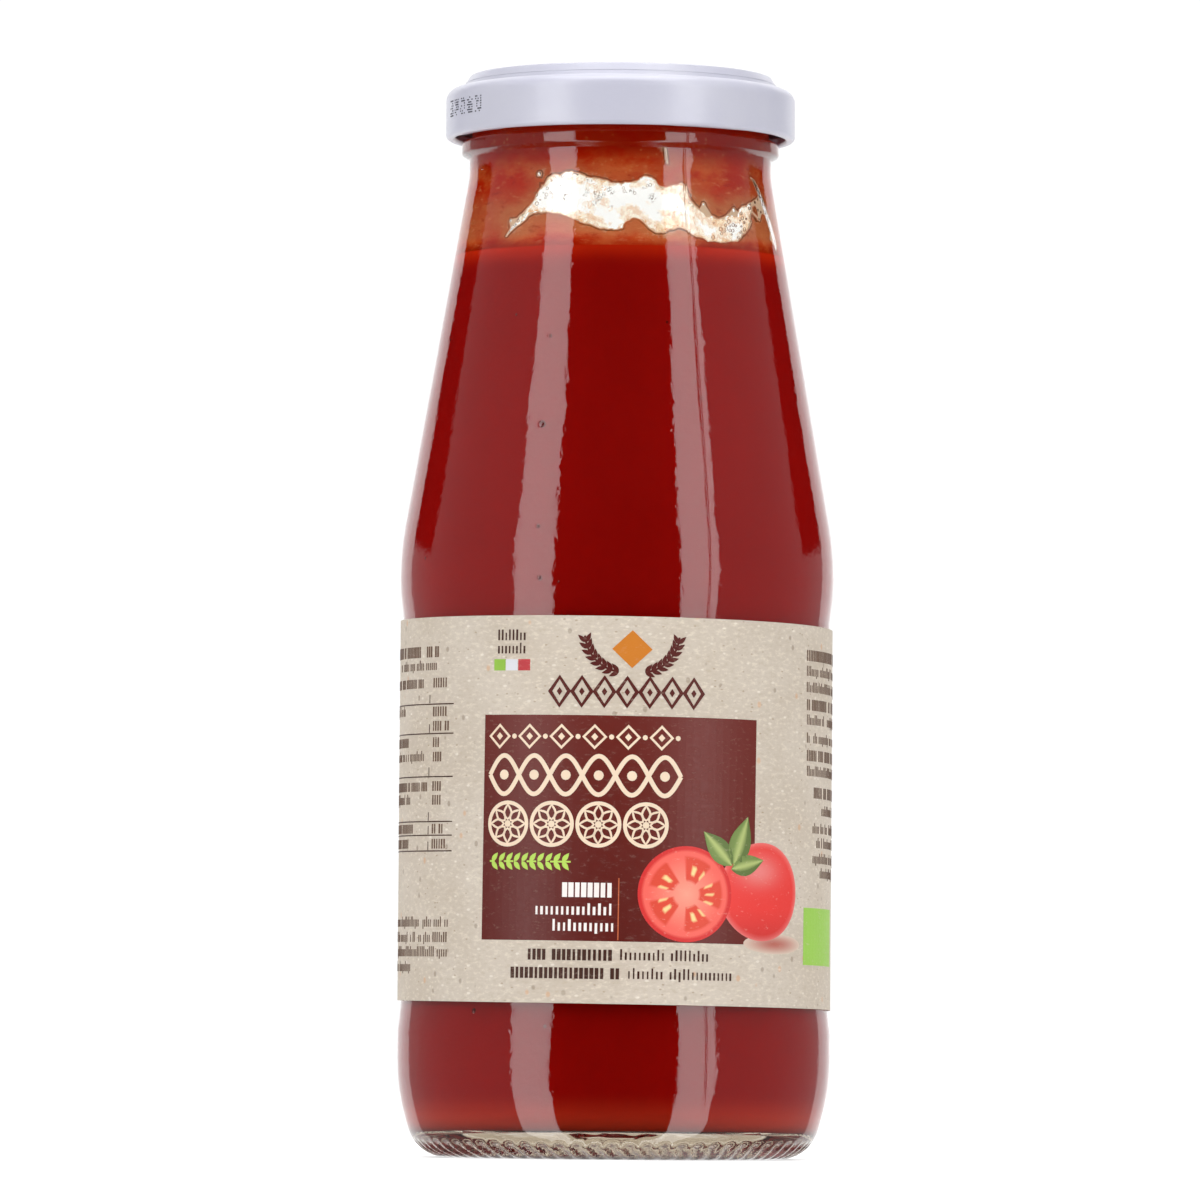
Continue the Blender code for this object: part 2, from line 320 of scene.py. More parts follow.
BACK_BLOCKS = (
    ("print_back_left", (-101.0, -63.0, 50.0, 82.0), 12, "back", 31, 0.14, 0.25),
    ("print_back_low", (-101.0, -63.0, 30.0, 44.0), 5, "back", 32, 0.14, 0.3),
    ("print_back_right", (63.0, 101.0, 30.0, 54.0), 9, "back", 33, 0.14, 0.3),
)
TABLE_EDGE = -29.3
TABLE_FAR = -57.0
TABLE_RULES = (71.98, 67.28, 60.4, 53.24, 51.05, 48.55)
TABLE_DIVIDER = (-35.86, -35.72)
RULE_WIDTH = 0.18
COLUMN_GAPS = 0.14
TABLE_ROWS = (
    (-55.0, -33.1, 80.35, "bold"),
    (-50.0, -34.0, 78.0, "plain"),
    (-55.5, -37.6, 75.3, "narrow"),
    (-34.9, -31.2, 75.4, "figures"),
    (-56.0, -46.0, 70.8, "plain"),
    (-34.9, -30.9, 70.8, "figures"),
    (-34.9, -30.1, 68.5, "figures"),
    (-56.0, -44.0, 65.9, "narrow"),
    (-34.8, -32.5, 65.9, "figures"),
    (-56.0, -37.3, 63.5, "plain"),
    (-34.8, -32.4, 63.6, "figures"),
    (-56.0, -36.4, 58.8, "narrow"),
    (-34.8, -32.3, 58.9, "figures"),
    (-55.0, -43.0, 56.6, "plain"),
    (-34.8, -32.3, 56.7, "figures"),
    (-56.0, -41.5, 52.1, "narrow"),
    (-34.8, -31.5, 52.1, "figures"),
    (-56.0, -43.5, 49.7, "narrow"),
    (-34.8, -30.8, 49.7, "figures"),
)
ADDRESS_ROWS = (
    (-53.0, -29.9, 37.05, "plain"),
    (-55.0, -29.85, 34.6, "plain"),
    (-52.0, -29.8, 32.3, "plain"),
    (-54.0, -42.0, 29.9, "plain"),
)
RIGHT_ROWS = (
    (36.5, 58.5, 81.1, "bold"),
    (36.55, 57.0, 78.4, "plain"),
    (36.6, 55.5, 75.8, "plain"),
    (36.7, 58.0, 73.2, "bold"),
    (36.75, 57.5, 70.6, "plain"),
    (36.85, 54.5, 67.7, "plain"),
    (36.9, 58.5, 65.1, "bold"),
    (37.0, 56.0, 62.4, "plain"),
    (39.6, 54.0, 59.2, "bold"),
    (43.2, 52.5, 56.2, "plain"),
    (39.3, 55.5, 53.3, "plain"),
    (40.9, 53.5, 51.0, "plain"),
    (39.4, 54.5, 48.5, "plain"),
    (42.6, 52.0, 46.2, "plain"),
)

# Studio, in degrees round from the camera's side and in degrees up; the third value is how soft an edge is
STRIP_SIDES = (34.0, 56.5, 0.6)
STRIP_TOP = (66.0, 60.0)
WALL_FRONT = (56.0, 58.0)
WALL_BACK = (143.0, 140.5)
GAP_SIDES = (117.5, 141.5, 1.2)
GAP_FOOT = (6.0, 8.0)
CROWN_FOOT = (58.0, 66.0)
BACKDROP_LIGHT = 1.17
CROWN_LIGHT = 1.2
SEEN_LIGHT = 1.05

# Camera of the photograph: far off, low and looking slightly up
CAMERA_RISE = 2.894 * DEG
CAMERA_ROLL = 0.447 * DEG
CAMERA_LENS = 276.0
CAMERA_PLACE = (-0.00273, -1.487, 0.015)
TABLE_HALF = 3.0


def srgb(red, green, blue):
    """Linear colour of a screen colour given in 0 to 255."""
    shares = (level / 255 for level in (red, green, blue))
    return tuple(s / 12.92 if s <= 0.04045 else ((s + 0.055) / 1.055) ** 2.4 for s in shares)


class Term:
    """A socket of a node tree that takes part in arithmetic."""

    def __init__(self, tree, socket):
        self.tree = tree
        self.socket = socket

    def also(self, name):
        """Another output of the same node."""
        return Term(self.tree, self.socket.node.outputs[name])

    def __add__(self, other):
        return maths("ADD", self, other)

    def __radd__(self, other):
        return maths("ADD", other, self)

    def __sub__(self, other):
        return maths("SUBTRACT", self, other)

    def __rsub__(self, other):
        return maths("SUBTRACT", other, self)

    def __mul__(self, other):
        return maths("MULTIPLY", self, other)

    def __rmul__(self, other):
        return maths("MULTIPLY", other, self)

    def __truediv__(self, other):
        return maths("DIVIDE", self, other)

    def __pow__(self, other):
        return maths("POWER", self, other)

    def __neg__(self):
        return maths("MULTIPLY", self, -1.0)

    def __gt__(self, other):
        return maths("GREATER_THAN", self, other)

    def __lt__(self, other):
        return maths("LESS_THAN", self, other)

    def __abs__(self):
        return maths("ABSOLUTE", self)


class Tree:
    """Adds nodes to one node tree."""

    def __init__(self, group):
        self.group = group

    def add(self, kind, settings=None, inputs=None, output=0):
        """A node of this type: its settings first, then values or links for its sockets."""
        node = self.group.nodes.new(kind)
        for name, value in (settings or {}).items():
            setattr(node, name, value)
        for key, value in (inputs or {}).items():
            for item in value if isinstance(value, list) else [value]:
                if isinstance(item, Term):
                    self.group.links.new(item.socket, node.inputs[key])
                elif hasattr(item, "__len__") and len(node.inputs[key].default_value) == len(item) + 1:
                    node.inputs[key].default_value = (*item, 1.0)
                else:
                    node.inputs[key].default_value = item
        return Term(self, node.outputs[output] if node.outputs else None)

    def split(self, vector):
        """The three parts of a vector."""
        parts = self.add("ShaderNodeSeparateXYZ", None, {0: vector})
        return parts, parts.also("Y"), parts.also("Z")

    def join(self, x, y, z):
        """A vector from its three parts."""
        return self.add("ShaderNodeCombineXYZ", None, {0: x, 1: y, 2: z})

    def grain(self, place, scale, detail=2.0, roughness=0.5):
        """Smooth noise round 0.5 at a place, scale bumps to the metre."""
        inputs = {"Vector": place, "Scale": scale, "Detail": detail, "Roughness": roughness}
        return self.add("ShaderNodeTexNoise", None, inputs)

    def stretched(self, place, x, y, z):
        """A place with its three parts multiplied."""
        return self.add("ShaderNodeVectorMath", {"operation": "MULTIPLY"}, {0: place, 1: (x, y, z)})

    def blend(self, factor, first, second):
        """From the first colour to the second."""
        return self.add("ShaderNodeMix", {"data_type": "RGBA"}, {0: factor, 6: first, 7: second}, 2)

    def bump(self, height, distance, strength=1.0):
        """A normal from a height that runs from 0 to 1, distance metres deep."""
        return self.add("ShaderNodeBump", None, {"Strength": strength, "Distance": distance, "Height": height}, 0)


def maths(operation, *values):
    """The Math node of this operation on terms and numbers."""
    tree = next(value.tree for value in values if isinstance(value, Term))
    return tree.add("ShaderNodeMath", {"operation": operation}, dict(enumerate(values)))


def smooth(value, low, high, start=0.0, end=1.0):
    """Eases from start to end while the value goes from low to high."""
    inputs = {0: value, 1: low, 2: high, 3: start, 4: end}
    return value.tree.add("ShaderNodeMapRange", {"interpolation_type": "SMOOTHSTEP"}, inputs)


def sets_in(height, span):
    """0 to 1 over a span of heights in millimetres."""
    return smooth(height, span[0] * MM, span[1] * MM)


def new_material(name):
    """An empty material and its tree."""
    made = bpy.data.materials.new(name)
    made.use_nodes = True
    made.node_tree.nodes.clear()
    return made, Tree(made.node_tree)


def principled(tree, inputs):
    """The main shader of a material, linked to its output."""
    shader = tree.add("ShaderNodeBsdfPrincipled", None, inputs)
    tree.add("ShaderNodeOutputMaterial", None, {"Surface": shader})
    return shader


def object_place(tree):
    """Object coordinates, in metres."""
    return tree.add("ShaderNodeTexCoord", output="Object")


# Materials


def glass_material(look):
    """Flint glass with the faintest green and an uneven skin. It lets light through to what it holds. Its sole is
    painted nearly black as a painted contact shadow.
    """
    made, tree = new_material("bottle_glass")
    place = object_place(tree)
    across, along, height = tree.split(place)
    fine = tree.grain(place, 800.0, 2.0) * sets_in(height, GRAIN_SPAN) * 0.55
    relief = tree.grain(tree.stretched(place, 1.0, 1.0, 0.6), 170.0, 1.5) + fine
    seam = abs(across * math.cos(look.seam_angle) + along * math.sin(look.seam_angle))
    relief += smooth(seam, 0.00022, 0.00006) * sets_in(height, SEAM_SPAN) * SEAM_RELIEF
    for angle, up, size in BLISTERS:
        if size > BLISTER_SHOWS:
            radius = cone_radius(max(up, SHOULDER_CORNER))
            spot = Vector((radius * math.sin(angle * DEG), -radius * math.cos(angle * DEG), up)) * MM
            away = tree.add("ShaderNodeVectorMath", {"operation": "DISTANCE"}, {0: place, 1: spot}, "Value")
            relief += smooth(away, size * 1.15 * MM, size * 0.65 * MM) * BLISTER_RELIEF
    roughness = smooth(tree.grain(place, 900.0, 3.0), 0.45, 0.8, 0.0, 0.06)
    tint = tree.blend(sets_in(height, TINT_SPAN), look.glass_colour, look.glass_foot)
    inputs = {
        # Painted contact shadow: the sole turns nearly black where the glass stands on the table
        "Base Color": tree.blend(sets_in(height, CONTACT_SHADOW_SPAN), tint, (0.07, 0.06, 0.05)),
        "Roughness": roughness,
        "IOR": GLASS_IOR,
        "Transmission Weight": 1.0,
        "Normal": tree.bump(relief, 0.00004),
    }
    solid = tree.add("ShaderNodeBsdfPrincipled", None, inputs)
    clear = tree.add("ShaderNodeBsdfTransparent", None, {"Color": (0.94, 0.96, 0.94)})
    shaded = tree.add("ShaderNodeLightPath", output="Is Shadow Ray")
    mixed = tree.add("ShaderNodeMixShader", None, {0: shaded, 1: solid, 2: clear})
    tree.add("ShaderNodeOutputMaterial", None, {"Surface": mixed})
    return made


def air_material():
    """Air shut in the glass, tinted dark red as painted shade for the bubbles' dark look."""
    made, tree = new_material("glass_air")
    grain = tree.grain(object_place(tree), 2500.0)
    # Painted shade: the dark red tint stands for the dark look of the bubbles, air having no colour
    inputs = {"Base Color": (0.30, 0.07, 0.05), "Roughness": smooth(grain, 0.4, 0.8, 0.0, 0.05)}
    principled(tree, {**inputs, "IOR": 1 / GLASS_IOR, "Transmission Weight": 1.0})
    return made


def passata_material(look):
    """Smooth sieved tomato against the glass: deep red, faintly cloudy, with rare darker flecks, and brighter
    towards the heel as painted light.
    """
    made, tree = new_material("passata")
    place = object_place(tree)
    cloud = tree.grain(place, 60.0, 4.0, 0.6)
    fleck = tree.add("ShaderNodeTexVoronoi", {"feature": "F1"}, {"Vector": place, "Scale": 260.0})
    dot = smooth(fleck, 0.16, 0.07) * smooth(tree.grain(place, 140.0), 0.62, 0.7)
    deep = tree.blend(smooth(cloud, 0.3, 0.75), look.passata_colour, look.passata_light)
    height = tree.split(place)[2]
    # Painted light: brighter red towards the heel, where the filling turns down from the light
    low = tree.blend(sets_in(height, HEEL_LIGHT_SPAN), deep, look.passata_heel_light)
    edge = sets_in(height, EDGE_SPAN)
    low = tree.blend(edge * edge * edge, low, look.passata_edge)
    colour = tree.blend(dot * 0.8, low, (0.03, 0.004, 0.002))
    pulp = tree.grain(place, 800.0, 4.0, 0.65)
    principled(
        tree,
        {
            "Base Color": colour,
            "Roughness": smooth(cloud, 0.2, 0.8, 0.5, 0.6),
            "IOR": 1.6,
            "Specular IOR Level": 0.9,
            "Specular Tint": (1.0, 0.02, 0.01),
            "Normal": tree.bump(pulp, 0.0001, 0.5),
        },
    )
    return made


def film_material(look):
    """The film on the neck: orange brown, deep red where it meets the filling, tan with dark lines at its rims,
    and darker towards the cap as painted shade.
    """
    made, tree = new_material("passata_film")
    place = object_place(tree)
    height = tree.split(place)[2]
    rim = tree.add("ShaderNodeAttribute", {"attribute_name": "rim_distance"}, output="Fac")
    cloud = tree.grain(tree.stretched(place, 1.0, 1.0, 1.6), 110.0, 5.0, 0.62)
    fine = tree.grain(place, 900.0, 4.0, 0.7)
    body = tree.blend(smooth(cloud, 0.42, 0.68), look.film_colour, look.film_light)
    level = height + cloud * 0.0022 - 0.0011
    belt = sets_in(height, BELT_LOW_SPAN) * sets_in(height, BELT_HIGH_SPAN)
    halo = smooth(rim - cloud * 4.0, 2.0, -2.5)
    body = tree.blend(maths("MINIMUM", belt * cloud * 1.1 + halo * 0.5, 0.8), body, look.film_halo)
    # Painted shade: the film darkens towards the cap, in the cap's shade
    body = tree.blend(sets_in(level, CAP_SHADE_SPAN) * 0.9, body, look.film_thick_and_shade)
    tan = smooth(fine * 0.5 + cloud * 0.5 - rim * 0.10, 0.44, 0.56) * smooth(rim, 2.6, 0.4)
    body = tree.blend(tan * 0.75, body, look.film_tan)
    speck = tree.add("ShaderNodeTexVoronoi", {"feature": "F1"}, {"Vector": place, "Scale": 900.0})
    specks = smooth(speck, 0.28, 0.14) * smooth(cloud, 0.5, 0.62) * sets_in(height, SPECK_SPAN)
    body = tree.blend(specks * 0.15, body, (0.8, 0.42, 0.16))
    smear = tree.grain(tree.stretched(place, 1.0, 1.0, 2.5), 420.0, 4.0, 0.65)
    light_smear = smooth(smear, 0.56, 0.72) * sets_in(height, SMEAR_SPAN)
    body = tree.blend(light_smear * 0.35, body, (0.86, 0.36, 0.15))
    # Real thick smears of film, in the same dark colour
    body = tree.blend(smooth(smear, 0.44, 0.30) * 0.4, body, look.film_thick_and_shade)
    body = tree.blend(sets_in(level, MEET_SPAN), body, look.passata_edge)
    line = smooth(abs(rim - 0.22 - fine * 0.2), 0.16, 0.04) * smooth(cloud, 0.36, 0.58)
    body = tree.blend(line * 0.8, body, (0.075, 0.018, 0.006))
    cream = smooth(rim + fine * 0.2, 0.27, 0.14)
    body = tree.blend(cream, body, look.film_cream)
    principled(
        tree,
        {
            "Base Color": body,
            "Roughness": smooth(cloud, 0.2, 0.8, 0.35, 0.6),
            "Specular IOR Level": 0.0,
            "Normal": tree.bump(cloud, 0.0006, 0.6),
        },
    )
    return made


def stain_material(look):
    """What the film leaves on bare glass: patches of tan, mostly see-through."""
    made, tree = new_material("passata_stain")
    place = object_place(tree)
    rim = tree.add("ShaderNodeAttribute", {"attribute_name": "rim_distance"}, output="Fac")
    cloud = tree.grain(place, 210.0, 4.0, 0.62)
    fine = tree.grain(place, 1300.0, 3.0, 0.6)
    patch = smooth(cloud + 0.16 * smooth(rim, 2.2, 0.2) + fine * 0.06, 0.585, 0.67)
    edge = smooth(rim + fine * 0.5, 0.55, 0.15)
    cover = maths("MINIMUM", patch * 0.62 + edge * 0.9, 1.0)
    tan = tree.add("ShaderNodeBsdfTransparent", None, {"Color": look.stain_colour})
    pale = tree.add("ShaderNodeBsdfTransparent", None, {"Color": (0.98, 0.91, 0.80)})
    tinted = tree.add("ShaderNodeMixShader", None, {0: smooth(fine, 0.4, 0.6), 1: tan, 2: pale})
    clear = tree.add("ShaderNodeBsdfTransparent", None, {"Color": (1.0, 1.0, 1.0)})
    mixed = tree.add("ShaderNodeMixShader", None, {0: cover, 1: clear, 2: tinted})
    tree.add("ShaderNodeOutputMaterial", None, {"Surface": mixed})
    return made


def rim_material(look):
    """Dried rims of small bubbles, tan with darker spots."""
    made, tree = new_material("bubble_rim")
    fine = tree.grain(object_place(tree), 1600.0, 3.0, 0.6)
    tone = tree.blend(smooth(fine, 0.40, 0.62), look.film_tan, (0.46, 0.20, 0.09))
    roughness = smooth(fine, 0.3, 0.7, 0.35, 0.55)
    alpha = smooth(fine, 0.3, 0.7, 0.35, 0.7)
    principled(tree, {"Base Color": tone, "Roughness": roughness, "Alpha": alpha})
    return made


def enamel_material(look):
    """White lacquer on steel with a breath of lilac, orange-peel gloss and hair-fine scuffs."""
    made, tree = new_material("cap_enamel")
    place = object_place(tree)
    peel = tree.grain(place, 1400.0, 2.0, 0.5)
    cloud = tree.grain(place, 90.0, 3.0)
    scuff = tree.grain(tree.stretched(place, 1.0, 1.0, 9.0), 500.0, 5.0, 0.7)
    tone = tree.blend(smooth(cloud, 0.35, 0.7), look.cap_colour, look.cap_shade)
    worn = tree.blend(smooth(scuff, 0.70, 0.84) * 0.05, tone, (0.42, 0.42, 0.48))
    principled(
        tree,
        {
            "Base Color": worn,
            "Roughness": smooth(scuff, 0.3, 0.8, 0.28, 0.36),
            "Specular IOR Level": 0.5,
            "Coat Weight": 0.08,
            "Coat Roughness": 0.15,
            "Normal": tree.bump(peel, 0.00003, 0.35),
        },
    )
    return made


def kraft_tone(tree, place, look):
    """Recycled paper: cloudy beige with pale fibres, dark bran and a few orange and grey specks."""
    cloud = tree.grain(place, 70.0, 5.0, 0.6)
    fibre = tree.grain(tree.stretched(place, 1.0, 1.0, 2.2), 900.0, 4.0, 0.7)
    tone = tree.blend(smooth(cloud, 0.3, 0.7), look.paper_colour, look.paper_light)
    tone = tree.blend(smooth(fibre, 0.50, 0.66) * 0.45, tone, (0.76, 0.69, 0.57))
    tone = tree.blend(smooth(fibre, 0.46, 0.34) * 0.40, tone, (0.45, 0.37, 0.26))
    for scale, width, turn, colour, most in (
        (420.0, 0.20, 0.62, (0.16, 0.10, 0.06), 0.42),
        (640.0, 0.20, 0.60, (0.28, 0.19, 0.11), 0.5),
        (300.0, 0.16, 0.64, (0.62, 0.30, 0.12), 0.45),
        (520.0, 0.24, 0.60, (0.90, 0.86, 0.78), 0.36),
    ):
        moved = tree.add("ShaderNodeVectorMath", {"operation": "ADD"}, {0: place, 1: (0.0, 0.0, scale * 0.013)})
        bent = tree.stretched(moved, 1.0, 1.0, 1.8 if scale > 500 else 0.8)
        cell = tree.add("ShaderNodeTexVoronoi", {"feature": "F1"}, {"Vector": bent, "Scale": scale})
        rare = smooth(tree.split(cell.also("Color"))[0], turn, turn + 0.02)
        tone = tree.blend(smooth(cell, width, width * 0.5) * rare * most, tone, colour)
    return tone, fibre


def paper_material(look):
    """Uncoated kraft paper."""
    made, tree = new_material("kraft_paper")
    place = object_place(tree)
    tone, fibre = kraft_tone(tree, place, look)
    principled(
        tree,
        {
            "Base Color": tone,
            "Roughness": smooth(fibre, 0.3, 0.7, 0.55, 0.8),
            "Specular IOR Level": 0.35,
            "Normal": tree.bump(fibre, 0.00008, 0.5),
        },
    )
    return made


def ink_material(name, colour, cover=0.93, deep=None, gloss=0.5, shine=0.2):
    """Ink that the paper's fibres show through a little; a darker second colour sets in towards the lower left
    corner as painted shade.
    """
    made, tree = new_material(name)
    place = object_place(tree)
    across, _, up = tree.split(place)
    fibre = tree.grain(tree.stretched(place, 1.0, 1.0, 2.2), 900.0, 4.0, 0.7)
    cloud = tree.grain(place, 160.0, 3.0)
    tone = tree.blend(smooth(cloud, 0.3, 0.7) * 0.12, colour, tuple(0.75 * part for part in colour))
    if deep:
        # Painted shade: darker towards the lower left, away from the sheen on the right
        corner = (up - 0.0345) * 14.0 + across * 9.0 + 0.2
        tone = tree.blend(smooth(corner, 0.75, 0.1), tone, deep)
    tone = tree.blend(smooth(fibre, 0.55, 0.72) * (1 - cover) * 4.0, tone, (0.62, 0.52, 0.42))
    principled(
        tree,
        {
            "Base Color": tone,
            "Roughness": smooth(fibre, 0.3, 0.7, gloss - 0.08, gloss + 0.1),
            "Specular IOR Level": shine,
            "Normal": tree.bump(fibre, 0.00005, 0.5),
        },
    )
    return made


def painted_material(name):
    """Printed picture colours that each mesh carries with it, in fine dots of ink."""
    made, tree = new_material(name)
    place = object_place(tree)
    tint = tree.add("ShaderNodeAttribute", {"attribute_name": "tint"}, output="Color")
    fibre = tree.grain(tree.stretched(place, 1.0, 1.0, 2.2), 900.0, 4.0, 0.7)
    tone = tree.blend(smooth(fibre, 0.58, 0.75) * 0.3, tint, (0.78, 0.62, 0.52))
    principled(
        tree,
        {
            "Base Color": tone,
            "Roughness": smooth(fibre, 0.3, 0.7, 0.42, 0.6),
            "Specular IOR Level": 0.4,
            "Normal": tree.bump(fibre, 0.00004, 0.4),
        },
    )
    return made


def floor_material():
    """Opal white table, lit from below where it is seen straight on or through the glass, with less glow round the
    foot as a painted shadow.
    """
    made, tree = new_material("table_white")
    place = object_place(tree)
    cloud = tree.grain(place, 6.0, 3.0)
    tone = tree.blend(cloud, (0.88, 0.88, 0.88), (0.93, 0.93, 0.93))
    matt = tree.add("ShaderNodeBsdfPrincipled", None, {"Base Color": tone, "Roughness": 0.7})
    glow = tree.add("ShaderNodeEmission", None, {"Color": (1.0, 1.0, 1.0), "Strength": 1.35})
    across, along, _ = tree.split(place)
    away = (across * across + along * along) ** 0.5
    # Painted shadow: the glow fades round the foot, where the bottle stands
    lit = tree.add("ShaderNodeMixShader", None, {0: smooth(away, 0.022, 0.034, 0.1, 0.6), 1: matt, 2: glow})
    path = tree.add("ShaderNodeLightPath", output="Is Camera Ray")
    direct = maths("MAXIMUM", path, path.also("Is Transmission Ray"))
    mixed = tree.add("ShaderNodeMixShader", None, {0: direct, 1: matt, 2: lit})
    tree.add("ShaderNodeOutputMaterial", None, {"Surface": mixed})
    return made


# Node trees that make meshes


def geometry_tree(name, sockets):
    """A geometry node tree with named inputs, and the terms that they give."""
    group = bpy.data.node_groups.new(name, "GeometryNodeTree")
    group.interface.new_socket("Geometry", in_out="OUTPUT", socket_type="NodeSocketGeometry")
    group.interface.new_socket("Geometry", in_out="INPUT", socket_type="NodeSocketGeometry")
    for label, kind in sockets:
        group.interface.new_socket(label, in_out="INPUT", socket_type="NodeSocket" + kind)
    tree = Tree(group)
    entry = tree.add("NodeGroupInput")
    given = {label: entry.also(label) for label in ["Geometry"] + [label for label, _ in sockets]}
    return group, tree, given


def end_tree(tree, mesh, material):
    """Closes a tree with real geometry in one material."""
    real = tree.add("GeometryNodeRealizeInstances", None, {0: mesh})
    dressed = tree.add("GeometryNodeSetMaterial", None, {"Geometry": real, "Material": material})
    tree.add("NodeGroupOutput", None, {0: dressed})


def turned_tree():
    """A profile turned round the axis. Its outer rows get waves, a mould seam and the heel's crescents."""
    group, tree, given = geometry_tree(
        "Turned wall",
        (
            ("Sides", "Int"),
            ("Rows", "Int"),
            ("Uneven Rows", "Int"),
            ("Wave Depth", "Float"),
            ("Waves To The Metre", "Float"),
            ("Crests", "Int"),
            ("Crest Depth", "Float"),
            ("Seam Depth", "Float"),
            ("Seam Angle", "Float"),
            ("Material", "Material"),
        ),
    )
    size = {"Vertices X": given["Sides"] + 1, "Vertices Y": given["Rows"]}
    grid = tree.add("GeometryNodeMeshGrid", None, size)
    index = tree.add("GeometryNodeInputIndex")
    column = maths("FLOOR", (index + 0.5) / given["Rows"])
    row = index - column * given["Rows"]
    where = tree.add("GeometryNodeInputPosition")
    taken = tree.add(
        "GeometryNodeSampleIndex",
        {"data_type": "FLOAT_VECTOR", "domain": "POINT"},
        {"Geometry": given["Geometry"], "Value": where, "Index": row},
    )
    radius, _, height = tree.split(taken)
    angle = column / given["Sides"] * math.tau
    sine = maths("SINE", angle)
    cosine = maths("COSINE", angle)
    uneven = row < given["Uneven Rows"]
    plain = tree.join(radius * sine, radius * cosine * -1.0, height * 0.8)
    swell = tree.grain(plain, given["Waves To The Metre"], 3.0, 0.5)
    upright = tree.join(0.0, 0.0, height)
    wander = (tree.grain(upright, 70.0, 2.0) - 0.5) * 0.012
    seam_side = maths("ABSOLUTE", maths("SINE", angle - given["Seam Angle"] + wander)) * radius
    worn = smooth(tree.grain(tree.join(0.3, 0.0, height), 55.0, 1.0), 0.36, 0.5)
    seam = smooth(seam_side, 0.0004, 0.0001) * (height > SEAM_START * MM) * worn * given["Seam Depth"]
    inward = uneven * (swell * given["Wave Depth"] + seam)
    up = height / MM
    turns = angle * given["Crests"] / math.tau + CREST_LEAN * up - CREST_BOW * up * up * 0.5
    hollow = smooth(maths("COSINE", turns * math.tau), 0.5, -0.3)
    band = smooth(up, CREST_FOOT, 0.5) * smooth(up, CREST_HEIGHT, CREST_HEIGHT - 0.8)
    cut = hollow * band * given["Crest Depth"] * uneven * (radius > CREST_REACH * MM)
    centre = (HEEL_RADIUS - HEEL_TURN) * MM
    new_radius = radius - inward + cut * (centre - radius) / (HEEL_TURN * MM)
    new_height = height + cut * (HEEL_TURN * MM - height) / (HEEL_TURN * MM)
    place = tree.join(new_radius * sine, new_radius * cosine * -1.0, new_height)
    shaped = tree.add("GeometryNodeSetPosition", None, {"Geometry": grid, "Position": place})
    welded = tree.add("GeometryNodeMergeByDistance", None, {"Geometry": shaped, "Distance": WELD})
    end_tree(tree, welded, given["Material"])
    return group


WRAP_SOCKETS = (
    ("Radius", "Float"),
    ("Thickness", "Float"),
    ("Skew", "Float"),
    ("Level", "Float"),
)


def wrap_tree():
    """A flat sheet, across on x and up on z, laid round the bottle and given its thickness."""
    group, tree, given = geometry_tree("Wrapped sheet", WRAP_SOCKETS + (("Material", "Material"),))
    across, _, up = tree.split(tree.add("GeometryNodeInputPosition"))
    arc = across + (up - given["Level"]) * given["Skew"]
    angle = arc / given["Radius"]
    place = tree.join(
        given["Radius"] * maths("SINE", angle),
        given["Radius"] * maths("COSINE", angle) * -1.0,
        up - across * given["Skew"],
    )
    laid = tree.add("GeometryNodeSetPosition", None, {"Geometry": given["Geometry"], "Position": place})
    flat = tree.stretched(tree.add("GeometryNodeInputPosition"), 1.0, 1.0, 0.0)
    outward = tree.add("ShaderNodeVectorMath", {"operation": "NORMALIZE"}, {0: flat})
    push = tree.add(
        "GeometryNodeExtrudeMesh",
        {"mode": "FACES"},
        {"Mesh": laid, "Offset": outward, "Offset Scale": given["Thickness"], "Individual": False},
    )
    under = tree.add("GeometryNodeFlipFaces", None, {0: laid})
    both = tree.add("GeometryNodeJoinGeometry", None, {0: [push, under]})
    closed = tree.add("GeometryNodeMergeByDistance", None, {"Geometry": both, "Distance": WELD})
    end_tree(tree, closed, given["Material"])
    return group


def wrapped(tree, given, flat):
    """Passes flat geometry through the wrapping tree."""
    inputs = {label: given[label] for label, _ in WRAP_SOCKETS + (("Material", ""),)}
    inputs["Geometry"] = flat
    return tree.add("GeometryNodeGroup", {"node_tree": shared_tree(wrap_tree)}, inputs)


